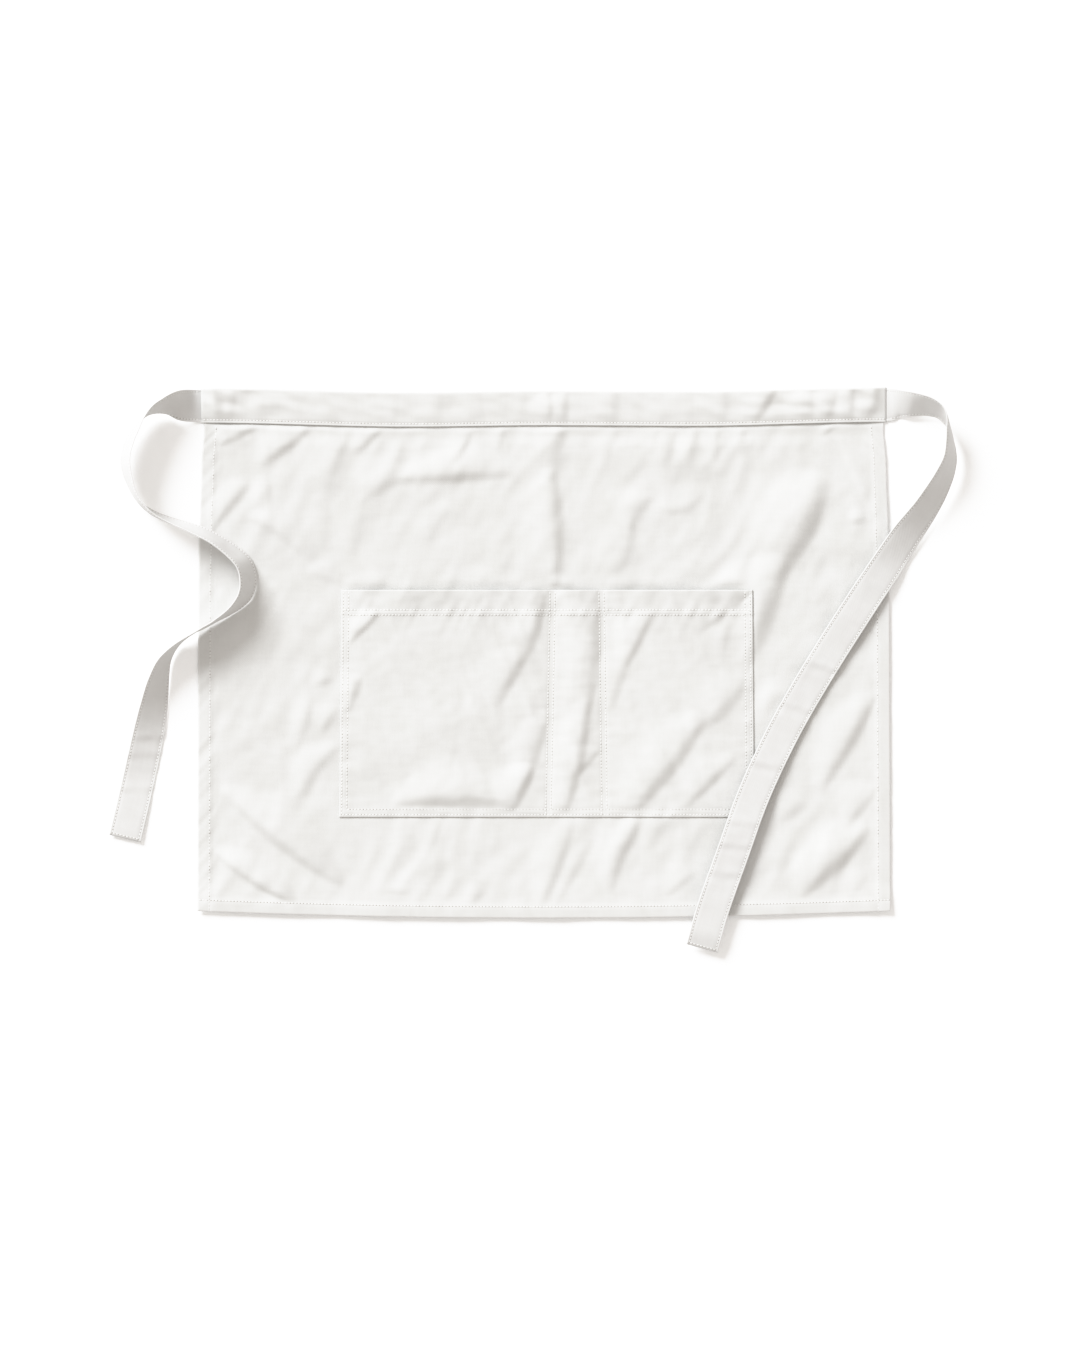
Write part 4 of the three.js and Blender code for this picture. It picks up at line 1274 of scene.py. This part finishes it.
@dataclass
class FrontPanel(SewnPiece):
    """The apron's skirt, hemmed at both sides and below, with its top edge inside the waistband.

    The grids are the stretches of its mesh from an edge inwards: from, to, and the distance between points.
    """

    tuck: float = 9.0
    edge_zone: float = 24.0  # where the cloth keeps its distance from the nearest edge
    side_row: float = 12.2
    hem_row: float = 11.3
    side_grid: tuple[tuple[float, float, float], ...] = (
        (0.0, 2.4, 0.4), (2.4, 12.8, 1.5), (13.4, 14.6, 1.2), (14.6, 24.0, 1.7),
    )
    hem_grid: tuple[tuple[float, float, float], ...] = (
        (0.0, 2.4, 0.4), (2.4, 12.4, 1.5), (12.4, 13.6, 1.2), (13.6, 24.0, 1.7),
    )
    seam_grid: tuple[float, float, float] = (0.5, 24.0, 1.6)
    coarse: float = 3.2

    def places(self, across: np.ndarray, down: np.ndarray) -> tuple[np.ndarray, np.ndarray]:
        """X and Y of a place of the flat cloth.

        Args:
            across: Nominal distance to the right of the middle.
            down: Nominal distance below the waist seam.

        Returns:
            X and Y, which keep their distance from the nearest edge.
        """
        flat_half = SHAPE.panel_width / 2.0
        x, y = across, SHAPE.seam_y - down
        for _ in range(3):
            half = SHAPE.half_width(y)
            inner = flat_half - self.edge_zone
            x = np.where(
                np.abs(across) <= inner,
                across * (half - self.edge_zone) / inner,
                np.sign(across) * (half - flat_half + np.abs(across)),
            )
            seam, hem = SHAPE.seam_line(x), SHAPE.hem_line(x)
            low, high = self.edge_zone, SHAPE.panel_length - self.edge_zone
            middle = seam - low - (down - low) * (seam - hem - 2.0 * self.edge_zone) / (high - low)
            near_hem = np.where(down >= high, hem + SHAPE.panel_length - down, middle)
            y = np.where(down <= low, seam - down, near_hem)
        return x, y

    def build(self) -> bpy.types.Object:
        """Makes the cloth.

        Returns:
            The panel.
        """
        half, length = SHAPE.panel_width / 2.0, SHAPE.panel_length
        beside = spaced(*self.side_grid, (self.edge_zone, half, self.coarse))
        columns = np.concatenate([beside - half, (half - beside)[-2::-1]])
        hem = [(length - far, length - near, step) for near, far, step in self.hem_grid]
        rows = spaced(self.seam_grid, (self.edge_zone, length - self.edge_zone, self.coarse), *hem)
        across, down = np.meshgrid(columns, rows)
        x, y = self.places(across, down)
        tucked_x, tucked_y = [], []
        inner = SHAPE.band_half - Tie.tuck - SHAPE.fit  # the ties' ends fill the rest of the band
        for above, width in ((self.tuck, inner), (0.45, inner), (0.18, half)):
            row = columns / half * width
            tucked_x.append(row)
            tucked_y.append(SHAPE.seam_line(row) + above)
        x, y = np.concatenate([np.array(tucked_x), x]), np.concatenate([np.array(tucked_y), y])
        top = np.stack([x, y, SHAPE.panel_top(x, y)], axis=-1)
        bottom = np.stack([x, y, SHAPE.panel_lift(x, y)], axis=-1)
        rim = np.minimum(SHAPE.half_width(y) - np.abs(x), y - SHAPE.hem_line(x))
        # Painted highlight along the turned outer edges of the hems
        edge = 0.75 * (1.0 - smooth(rim, 0.3, 2.6))
        made = closed_sheet("apron_skirt", top, bottom, edge)
        self.dress_cloth(made, "front_panel", "panel_twill")
        log.info("skirt: %d columns by %d rows", len(columns), len(rows))
        return made

    def stitches(self) -> bpy.types.Object:
        """Makes the rows that hold the side hems and the bottom hem."""
        half, length = SHAPE.panel_width / 2.0, SHAPE.panel_length
        down = np.arange(3.0, length - 1.0, 1.0)
        rows = [self.places(side * (half - self.side_row) + 0.0 * down, down) for side in (-1.0, 1.0)]
        across = np.arange(-half + 1.0, half - 0.5, 1.0)
        rows.append(self.places(across, length - self.hem_row + 0.0 * across))
        return self.sew("skirt_stitching", [stitched_row(SHAPE.panel_top, x, y) for x, y in rows])


@dataclass
class PatchPocket(SewnPiece):
    """The pocket, sewn to the panel along three sides and by two dividers."""

    edge_zone: float = 12.0
    seam_zone: float = 9.0
    coarse: float = 2.3

    def places(self, from_left: np.ndarray, from_mouth: np.ndarray) -> tuple[np.ndarray, np.ndarray]:
        """X and Y of a place of the pocket.

        Args:
            from_left: Distance from its left edge.
            from_mouth: Distance below its mouth.

        Returns:
            X and Y.
        """
        half = SHAPE.pocket_half(from_mouth / SHAPE.pocket_length)
        x = SHAPE.pocket_shift + half * (2.0 * from_left / SHAPE.pocket_width - 1.0)
        return x, SHAPE.pocket_top - from_mouth

    def build(self) -> bpy.types.Object:
        """Makes the cloth.

        Returns:
            The pocket.
        """
        width, length = SHAPE.pocket_width, SHAPE.pocket_length
        first, second = SHAPE.dividers
        edge, seam = self.edge_zone, self.seam_zone
        columns = spaced(
            (0.0, edge, 1.1), (edge, first - seam, self.coarse), (first - seam, first + seam, 1.0),
            (first + seam, second - seam, 2.2), (second - seam, second + seam, 1.0),
            (second + seam, width - edge, self.coarse), (width - edge, width, 1.1),
        )
        rows = spaced(
            (0.0, 3.0, 1.0), (3.0, 18.0, 1.9), (18.0, 28.0, 1.0), (28.0, length - edge, self.coarse),
            (length - edge, length, 1.1),
        )
        from_left, from_mouth = np.meshgrid(columns, rows)
        x, y = self.places(from_left, from_mouth)
        under = np.stack([x, y, SHAPE.pocket_under(x, y)], axis=-1)
        top = np.stack([x, y, SHAPE.pocket_top_face(x, y)], axis=-1)
        sides = np.minimum(from_left, width - from_left)
        rim = np.minimum(sides, np.minimum(from_mouth, length - from_mouth))
        # Painted highlight along the pocket's folded edges
        edge = 0.6 * (1.0 - smooth(rim, 0.3, 2.0))
        made = closed_sheet("apron_pocket", top, under, edge)
        self.dress_cloth(made, "patch_pocket", "pocket_twill")
        log.info("pocket: %d columns by %d rows", len(columns), len(rows))
        return made

    def stitches(self) -> bpy.types.Object:
        """Makes the rows along the edges, below the mouth and along both dividers."""
        width, length = SHAPE.pocket_width, SHAPE.pocket_length
        rim, apart = SHAPE.sew_rim, SHAPE.rows_apart
        rows = []
        for further in (0.0, apart):
            inset = rim + further
            down = np.arange(1.5, length - inset, 1.0)
            along = np.arange(inset, width - inset, 1.0)
            rows += [self.places(left + 0.0 * down, down) for left in (inset, width - inset)]
            lines = (SHAPE.mouth_row + further, length - inset)
            rows += [self.places(along, low + 0.0 * along) for low in lines]
            rows += [self.places(line + further - apart / 2.0, down) for line in SHAPE.divider_lines(down)]
        return self.sew("pocket_stitching", [stitched_row(SHAPE.pocket_top_face, x, y) for x, y in rows])


@dataclass
class Waistband(SewnPiece):
    """The folded band along the waist: its fold is at the top and both free edges hold the skirt below."""

    thickness: float = 3.8
    height: float = 35.3
    cloth: float = 1.0
    step: float = 2.4
    thinning: float = 20.0
    end_drop: float = 0.8
    paring: float = 3.6
    end_pared: float = 0.45
    end_tilt: float = 2.8
    row_up: float = 3.0
    row_groove: float = 0.35
    row_puckers: float = 0.3
    rough_height: float = 2.1
    rough_zone: tuple[float, float] = (180.0, 300.0)  # from the middle, where the band gets rougher
    smoother: float = 0.4  # share of the roughness in the middle
    held: float = 0.25  # share of the ripple that is left at the seam
    held_zone: float = 14.0
    pressed_end: float = 14.0
    left_end: float = 44.0
    right_end: tuple[float, float] = (20.0, 100.0)
    fold_turn: float = 75.0  # degrees of the fold to either side of its crest
    dents: GradientNoise = field(default_factory=lambda: GradientNoise(51))

    def ripple(self, x: np.ndarray, up: np.ndarray) -> np.ndarray:
        """Height of the creases across the band.

        Args:
            x: Places along it.
            up: Distances above its lower edge.

        Returns:
            Heights in millimetres.
        """
        from_end = SHAPE.band_half - np.abs(x)
        half = SHAPE.band_half
        total = folded(BAND_CREASES, x + half, self.height - up, 2.0 * half, self.height)
        by_row = np.exp(-np.abs(up - self.row_up) / 5.0)
        total += self.row_puckers * (0.6 + self.dents.at(x / 6.5, up / 20.0)) * by_row
        near_end = self.smoother + (1.0 - self.smoother) * smooth(np.abs(x + 20.0), *self.rough_zone)
        rough = 0.8 + self.dents.at((x + 0.7 * up) / 19.0, up / 13.0 + 5.0)
        total += self.rough_height * near_end * rough
        total *= self.held + (1.0 - self.held) * smooth(up, 0.0, self.held_zone)
        pressed = smooth(from_end, 0.0, self.pressed_end)
        total *= np.where(x < 0.0, 0.5 + 0.5 * pressed, pressed)
        left_tilt = 1.0 - smooth(from_end, 0.0, self.left_end)
        right_tilt = 0.5 * pressed * (1.0 - smooth(from_end, *self.right_end))
        return total + self.end_tilt * up / self.height * np.where(x < 0.0, left_tilt, right_tilt)

    def top_face(self, x: np.ndarray, y: np.ndarray) -> np.ndarray:
        """Height of the band's upper face."""
        up = y - SHAPE.seam_line(x)
        row = groove(up - self.row_up, self.row_groove, SHAPE.groove_width)
        return self.thickness - self.thinned(x) - self.pared(x) + self.ripple(x, up) - row

    def thinned(self, x: np.ndarray) -> np.ndarray:
        """How much thinner the pressed ends of the band are."""
        return self.end_drop * (1.0 - smooth(SHAPE.band_half - np.abs(x), 0.0, self.thinning))

    def pared(self, x: np.ndarray) -> np.ndarray:
        """How much its cut ends are pared down to lie flat on the ties."""
        return self.end_pared * (1.0 - smooth(SHAPE.band_half - np.abs(x), 0.0, self.paring))

    def build(self) -> bpy.types.Object:
        """Makes the cloth.

        Returns:
            The waistband.
        """
        half = SHAPE.band_half
        count = round(2.0 * half / self.step)
        stations = np.linspace(-half, half, count + 1)
        ups = spaced((0.0, 6.0, 0.8), (6.0, self.height - self.thickness / 2.0, 1.6))
        radius = self.thickness / 2.0
        fold_at = self.height - radius
        bend = np.radians(np.linspace(-self.fold_turn, self.fold_turn, 7))
        sections, flat, edges = [], [], []
        for x in stations:
            along = np.full(len(ups), x)
            cloth = self.cloth - 0.5 * float(self.thinned(x)) - float(self.pared(x))
            outer_top = self.top_face(along, SHAPE.seam_line(along) + ups)
            crown = outer_top[-1]
            outside = [(0.0, 0.0), (fold_at, 0.0)]
            outside += [(fold_at + radius * math.cos(a), crown / 2.0 * (1.0 + math.sin(a))) for a in bend]
            outside += list(zip(ups[::-1], outer_top[::-1]))
            inner = list(zip(ups, outer_top - cloth))
            inside = [(fold_at + radius - cloth, crown / 2.0), (fold_at, cloth), (0.0, cloth)]
            ring = outside + inner + inside
            y = float(SHAPE.seam_line(x))
            sections.append([(x, y + up, off) for up, off in ring])
            girth = [up if i > len(bend) + 1 else -up for i, (up, off) in enumerate(ring)]
            flat.append([(x * MM, value * MM) for value in girth])
            # Painted highlight along the band's fold and the upper face next to it
            fold_highlight = [0.0, 0.0, *[0.7] * len(bend), *(0.7 * (1.0 - smooth(fold_at - ups[::-1], 0.0, 2.0)))]
            edges.append(fold_highlight + [0.0] * (len(ring) - len(fold_highlight)))
        caps = self.end_caps(len(ups), len(bend))
        made = loft("apron_waistband", np.array(sections), caps, np.array(flat), np.array(edges))
        self.dress_cloth(made, "waistband", "band_twill")
        log.info("waistband: %d sections", count + 1)
        return made

    def end_caps(self, across: int, bend: int) -> list[tuple[int, ...]]:
        """Faces that close an end: strips between the outside and the inside of the folded cloth.

        Args:
            across: Points across its upper face.
            bend: Points round its fold.

        Returns:
            Faces, as indices of a section's points.
        """
        outer = 2 + bend
        inner = outer + across
        crest = inner + across
        faces = [(0, 1, crest + 1, crest + 2)]
        faces += [(1, 2, crest + 1), (2, crest, crest + 1)]
        faces += [(k, k + 1, crest) for k in range(2, outer - 1)]
        faces += [(outer - 1, outer, inner + across - 1), (outer - 1, inner + across - 1, crest)]
        for k in range(across - 1):
            faces.append((outer + k, outer + k + 1, inner + across - 2 - k, inner + across - 1 - k))
        return faces

    def stitches(self) -> bpy.types.Object:
        """Makes the row that closes the band over the skirt."""
        x = np.arange(-SHAPE.band_half + 1.5, SHAPE.band_half - 1.0, 1.0)
        y = SHAPE.seam_line(x) + self.row_up
        return self.sew("waistband_stitching", [stitched_row(self.top_face, x, y)])


@dataclass
class Tie(SewnPiece):
    """One of the two straps, with its root inside the end of the waistband."""

    side: int = -1
    length: float = 600.0
    route: tuple[Station, ...] = ()
    marks: tuple[float, ...] = ()
    step: float = 2.4
    clear: float = 11.0  # how far ahead and behind a station the strap clears what is under it
    tuck: float = 12.0
    flat_root: float = 26.0  # over which it rises from the band
    roll_root: float = 38.0  # over which it starts to turn
    settling: int = 3  # stations over which its height evens out
    row: float = 0.42  # place of its rows of stitches, as a share of its width
    row_groove: float = 0.55
    row_width: float = 0.024
    rounded: float = 0.0185
    sag: float = 0.55
    dent: float = 0.16
    shares: tuple[float, ...] = (0.5, 0.497, 0.488, 0.475, 0.45, 0.435, 0.42, 0.405, 0.38, 0.3, 0.2, 0.1, 0.0)
    dents: GradientNoise = field(default_factory=lambda: GradientNoise(71))

    @property
    def word(self) -> str:
        """The side's name."""
        return "left" if self.side < 0 else "right"

    def knots(self) -> np.ndarray:
        """Places of the route in the plane of the table."""
        root_x = self.side * SHAPE.band_half
        root_y = float(SHAPE.seam_line(root_x)) + SHAPE.seam_margin + SHAPE.tie_width / 2.0
        ways = np.array([(self.side * station.out, -station.down) for station in self.route])
        return np.array([root_x, root_y]) + ways * self.length

    def travel(self) -> tuple[np.ndarray, np.ndarray, np.ndarray]:
        """Runs a centripetal Catmull-Rom curve through the route.

        Returns:
            Points, unit directions and places on the route counted in rows.
        """
        knots = self.knots()
        ends = np.concatenate([[2.0 * knots[0] - knots[1]], knots, [2.0 * knots[-1] - knots[-2]]])
        points, directions, rows = [], [], []
        for row in range(len(knots) - 1):
            p0, p1, p2, p3 = ends[row:row + 4]
            dt0, dt1, dt2 = (math.sqrt(np.linalg.norm(b - a)) for a, b in ((p0, p1), (p1, p2), (p2, p3)))
            m1 = ((p1 - p0) / dt0 - (p2 - p0) / (dt0 + dt1) + (p2 - p1) / dt1) * dt1
            m2 = ((p2 - p1) / dt1 - (p3 - p1) / (dt1 + dt2) + (p3 - p2) / dt2) * dt1
            steps = max(1, round(float(np.linalg.norm(p2 - p1)) / self.step))
            for share in np.arange(0 if row == 0 else 1, steps + 1) / steps:
                c2 = -3.0 * p1 + 3.0 * p2 - 2.0 * m1 - m2
                c3 = 2.0 * p1 - 2.0 * p2 + m1 + m2
                points.append(p1 + m1 * share + c2 * share ** 2 + c3 * share ** 3)
                run = m1 + 2.0 * c2 * share + 3.0 * c3 * share ** 2
                directions.append(run / np.linalg.norm(run))
                rows.append(row + share)
        return np.array(points), np.array(directions), np.array(rows)

    def rolled(self, shares: np.ndarray, roll: np.ndarray, curl: np.ndarray) -> tuple[np.ndarray, np.ndarray]:
        """Middle line of the strap's section and its normals.

        Args:
            shares: Places across it, from -0.5 to 0.5.
            roll: Turn about the run at each station, in radians.
            curl: Bend between the edges at each station, in radians.

        Returns:
            Sideways and upward distances, and normals, for each station and share.
        """
        angle = roll[:, None] + curl[:, None] * shares[None]
        middle = roll[:, None] + curl[:, None] * shares[None] / 2.0
        quarter = curl[:, None] * shares[None] / 2.0
        flat = np.abs(quarter) < 1e-6
        chord = np.where(flat, 1.0, np.sin(quarter) / np.where(flat, 1.0, quarter))
        reach = SHAPE.tie_width * shares[None] * chord
        line = np.stack([reach * np.cos(middle), reach * np.sin(middle)], axis=-1)
        return line, np.stack([-np.sin(angle), np.cos(angle)], axis=-1)

    def placed(self, points: np.ndarray, directions: np.ndarray, offsets: np.ndarray,
               heights: np.ndarray) -> np.ndarray:
        """Section offsets set out along the run.

        Args:
            points: Middle of each station.
            directions: Its direction of travel.
            offsets: Sideways and upward distances for each station.
            heights: Height of each station's middle.

        Returns:
            Points in three dimensions.
        """
        x = points[:, None, 0] - self.side * directions[:, None, 1] * offsets[..., 0]
        y = points[:, None, 1] + self.side * directions[:, None, 0] * offsets[..., 0]
        return np.stack([x, y, heights[:, None] + offsets[..., 1]], axis=-1)

    def build(self) -> tuple[bpy.types.Object, bpy.types.Object]:
        """Makes the strap and its stitches.

        Returns:
            Both objects.
        """
        points, directions, rows = self.travel()
        directions[0] = (self.side, 0.0)
        reached = np.concatenate([[0.0], np.cumsum(np.linalg.norm(np.diff(points, axis=0), axis=1))])
        table = np.arange(len(self.route))
        roll, curl, lift = (
            self.evened(np.interp(rows, table, [getattr(s, key) for s in self.route]), 2)
            for key in ("roll", "curl", "lift")
        )
        roll, curl = np.radians(roll), np.radians(curl)
        thick = SHAPE.tie_thickness / 2.0
        coarse = np.linspace(-0.5, 0.5, 9)
        line, normal = self.rolled(coarse, roll, curl)
        hull = np.concatenate([line + normal * thick, line - normal * thick], axis=1)
        laid = self.placed(points, directions, hull, 0.0 * reached)
        need = np.full(len(points), -1e9)
        for ahead in np.linspace(-self.clear, self.clear, 9):
            x = laid[..., 0] + ahead * directions[:, None, 0]
            y = laid[..., 1] + ahead * directions[:, None, 1]
            need = np.maximum(need, (SHAPE.support(x, y) - laid[..., 2]).max(axis=1))
        heights = need + lift * SHAPE.tie_width
        reach = self.settling
        highest = [heights[max(0, i - reach):i + reach + 1].max() for i in range(len(heights))]
        heights = self.evened(np.array(highest), reach)
        root = SHAPE.cloth + 0.1 + thick
        blend = smooth(reached, 0.0, self.flat_root)
        turned = smooth(reached, 0.0, self.roll_root)
        roll, curl = roll * turned, curl * turned
        heights = root + (heights - root) * blend
        points = np.concatenate([[points[0] - (self.side * self.tuck, 0.0)], points])
        directions = np.concatenate([[directions[0]], directions])
        roll, curl, heights = (np.concatenate([[value[0]], value]) for value in (roll, curl, heights))
        reached = np.concatenate([[0.0], reached + self.tuck])
        shares = np.concatenate([np.array(self.shares), -np.array(self.shares[-2::-1])])
        line, normal = self.rolled(shares, roll, curl)
        profile = self.half_thickness(np.abs(shares))
        sink = self.creasing(reached, shares)
        face = line + normal * (profile[None] * thick + sink)[..., None]
        back = line - normal * (profile[None] * thick - sink)[..., None]
        ring = np.concatenate([face, back[:, ::-1]], axis=1)
        sections = self.placed(points, directions, ring, heights)
        both = np.concatenate([shares, shares[::-1]])
        turn = np.concatenate([0.0 * shares, 0.0 * shares + 40.0])  # the back's cloth lies beside the face's
        uv = np.stack(np.broadcast_arrays(reached[:, None], both * SHAPE.tie_width + turn), axis=-1) * MM
        # Painted highlight along both folded edges of the strap
        edge = np.broadcast_to(smooth(np.abs(both), 0.455, 0.49)[None], sections.shape[:2])
        last = len(both) - 1
        caps = [(i, i + 1, last - i - 1, last - i) for i in range(len(shares) - 1)]
        strap = loft(f"{self.word}_strap", sections, caps, uv, edge)
        self.dress_cloth(strap, f"{self.word}_tie", "tie_twill")
        log.info("%s strap: %d sections over %.0f mm", self.word, len(sections), reached[-1] - self.tuck)
        sewn = self.stitches(points, directions, roll, curl, heights, reached)
        return strap, sewn

    def evened(self, values: np.ndarray, reach: int) -> np.ndarray:
        """Values along the strap, averaged over their neighbours.

        Args:
            values: One value for each station.
            reach: How many neighbours count on each side.

        Returns:
            The averaged values.
        """
        weights = np.hanning(2 * reach + 3)[1:-1]
        padded = np.pad(values, reach, mode="edge")
        return np.convolve(padded, weights / weights.sum(), mode="valid")

    def half_thickness(self, share: np.ndarray) -> np.ndarray:
        """Thickness across the strap: rounded edges and a groove at each row of stitches.

        Args:
            share: Distances from its middle line, as shares of its width.

        Returns:
            Shares of its half thickness.
        """
        past = np.clip((share - 0.5) / self.rounded + 1.0, 0.0, 1.0)
        return np.sqrt(1.0 - 0.98 * past ** 2) - groove(share - self.row, self.row_groove, self.row_width)

    def creasing(self, reached: np.ndarray, shares: np.ndarray) -> np.ndarray:
        """How far the cloth is pushed up along the strap by its creases.

        Args:
            reached: Distance along the strap.
            shares: Places across it.

        Returns:
            Heights for each station and share.
        """
        along, across = np.meshgrid(reached, shares * SHAPE.tie_width, indexing="ij")
        wave = self.sag * self.dents.at(along / 23.0, across / 30.0 + 3.0)
        wave += self.dent * self.dents.at((along + 0.5 * across) / 7.0, across / 12.0)
        for mark in self.marks:
            bow = along - mark - 0.25 * across
            crease = groove(bow - 3.5, 0.7, 4.5) - groove(bow + 3.0, 0.75, 3.6)
            broken = 0.55 + 0.45 * self.dents.at(across / 9.0 + mark, 0.37 + 0.0 * across)
            wave += self.side * crease * broken
        free = smooth(reached, self.tuck + 4.0, self.tuck + 30.0)[:, None]
        return wave * free * (1.0 - 0.45 * smooth(np.abs(shares), 0.38, 0.5))[None]

    def stitches(self, points: np.ndarray, directions: np.ndarray, roll: np.ndarray, curl: np.ndarray,
                 heights: np.ndarray, reached: np.ndarray) -> bpy.types.Object:
        """Makes the rows near both edges, on the face and on the back, and the row across the end.

        Args:
            points: Middle of each station.
            directions: Its direction of travel.
            roll: Its turn about the run, in radians.
            curl: Its bend between the edges, in radians.
            heights: Height of its middle.
            reached: Distance along the strap.

        Returns:
            The stitches, as one object.
        """
        thick = SHAPE.tie_thickness / 2.0 * 0.56  # the threads lie in their groove
        shares = np.array([-self.row, self.row])
        line, normal = self.rolled(shares, roll, curl)
        sink = self.creasing(reached, shares)
        rows = []
        visible = (reached > self.tuck + 1.5) & (reached < reached[-1] - 2.0)
        for facing in (1.0, -1.0):
            offsets = line + normal * (facing * thick + sink)[..., None]
            placed = self.placed(points, directions, offsets, heights)
            tipped = self.placed(0.0 * points, directions, facing * normal, 0.0 * heights)
            for k in range(2):
                rows.append((placed[visible, k], tipped[visible, k]))
        across = np.linspace(-self.row, self.row, 14)
        last = slice(len(reached) - 2, len(reached) - 1)
        line, normal = self.rolled(across, roll[last], curl[last])
        sink = self.creasing(reached[last], across)
        for facing in (1.0, -1.0):
            offsets = line + normal * (facing * thick * 1.8 + sink)[..., None]
            placed = self.placed(points[last], directions[last], offsets, heights[last])
            tipped = self.placed(0.0 * points[last], directions[last], facing * normal, 0.0 * heights[last])
            rows.append((placed[0], tipped[0]))
        return self.sew(f"{self.word}_strap_stitching", rows)


# Stage


@dataclass(frozen=True)
class Stage:
    """The table, the lamps and the camera."""

    table: OpalAcrylicTable = field(default_factory=OpalAcrylicTable)
    table_size: float = 6.0
    fill: float = 0.67
    fill_tint: tuple[float, float, float] = (1.045, 1.0, 0.955)
    window: float = 3.42
    window_tint: tuple[float, float, float] = (0.955, 1.0, 1.045)
    window_spread: float = 26.0
    window_height: float = 34.0
    window_bearing: float = -48.0
    middle: tuple[float, float] = (-0.0038, -0.008)
    distance: float = 10.0
    lens: float = 266.7
    white: float = 1.3  # scene light that is shown as pure white
    shoulder: tuple[tuple[float, float], ...] = (
        (0.35, 0.35), (0.6, 0.6), (0.8, 0.8), (0.9, 0.884), (1.0, 0.938), (1.1, 0.972), (1.2, 0.99),
    )
    sensor: float = 36.0

    def build(self) -> None:
        """Sets up the table, the lamps and the camera."""
        half = self.table_size / 2.0
        mesh = bpy.data.meshes.new("table")
        corners = [(-half, -half, 0.0), (half, -half, 0.0), (half, half, 0.0), (-half, half, 0.0)]
        mesh.from_pydata(corners, [], [[0, 1, 2, 3]])
        floor = bpy.data.objects.new("table", mesh)
        bpy.context.scene.collection.objects.link(floor)
        floor.data.materials.append(self.table.build())
        world = bpy.data.worlds.new("warm_room_fill")
        world.use_nodes = True
        background = world.node_tree.nodes["Background"]
        background.inputs["Color"].default_value = (*self.fill_tint, 1.0)
        background.inputs["Strength"].default_value = self.fill
        bpy.context.scene.world = world
        light = bpy.data.lights.new("window", "SUN")
        light.energy = self.window
        light.color = self.window_tint
        light.angle = math.radians(self.window_spread)
        lamp = bpy.data.objects.new("window", light)
        tilt = math.radians(90.0 - self.window_height)
        lamp.rotation_euler = (tilt, 0.0, math.radians(self.window_bearing - 90.0))
        bpy.context.scene.collection.objects.link(lamp)
        lens = bpy.data.cameras.new("camera")
        lens.lens = self.lens
        lens.sensor_width = self.sensor
        lens.clip_end = 50.0
        camera = bpy.data.objects.new("camera", lens)
        camera.location = (*self.middle, self.distance)
        bpy.context.scene.collection.objects.link(camera)
        bpy.context.scene.camera = camera
        self.develop(bpy.context.scene.view_settings)

    def develop(self, view: bpy.types.ColorManagedViewSettings) -> None:
        """Gives the picture the soft shoulder that a camera puts on its brightest tones."""
        view.view_transform = "Standard"
        view.use_curve_mapping = True
        view.curve_mapping.white_level = (self.white,) * 3
        curve = view.curve_mapping.curves[3]
        curve.points[0].location = (0.0, 0.0)
        curve.points[-1].location = (1.0, 1.0)
        for scene_light, shown in self.shoulder:
            curve.points.new(scene_light / self.white, shown)
        view.curve_mapping.update()


def strap_cloth(word: str) -> tuple[WovenCottonTwill, SpunCottonThread]:
    """The cloth and the thread of one strap, a shade deeper than the skirt's."""
    twill = WovenCottonTwill(f"{word}_strap_cotton_twill", tone="#d8d7d5", deep_tone="#d3d1cf")
    return twill, SpunCottonThread(f"{word}_strap_cotton_thread")


def main() -> None:
    """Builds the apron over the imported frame."""
    logging.basicConfig(level=logging.INFO, format="%(message)s")
    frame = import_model()
    log.info("frame: %s", ", ".join(sorted(frame["nodes"])))
    Stage().build()

    panel = FrontPanel(WovenCottonTwill("skirt_cotton_twill"), SpunCottonThread("skirt_cotton_thread"))
    skirt, skirt_sewing = panel.build(), panel.stitches()

    patch = PatchPocket(WovenCottonTwill("pocket_cotton_twill"), SpunCottonThread("pocket_cotton_thread"))
    pocket, pocket_sewing = patch.build(), patch.stitches()

    waist = Waistband(WovenCottonTwill("waistband_cotton_twill"), SpunCottonThread("waistband_cotton_thread"))
    band, band_sewing = waist.build(), waist.stitches()

    straps = (
        Tie(*strap_cloth("left"), side=-1, length=600.0, route=LEFT_ROUTE, marks=LEFT_MARKS),
        Tie(*strap_cloth("right"), side=1, length=660.0, route=RIGHT_ROUTE, marks=RIGHT_MARKS, roll_root=14.0,
            settling=6),
    )
    for tie in straps:
        strap, sewing = tie.build()


if __name__ == "__main__":
    main()
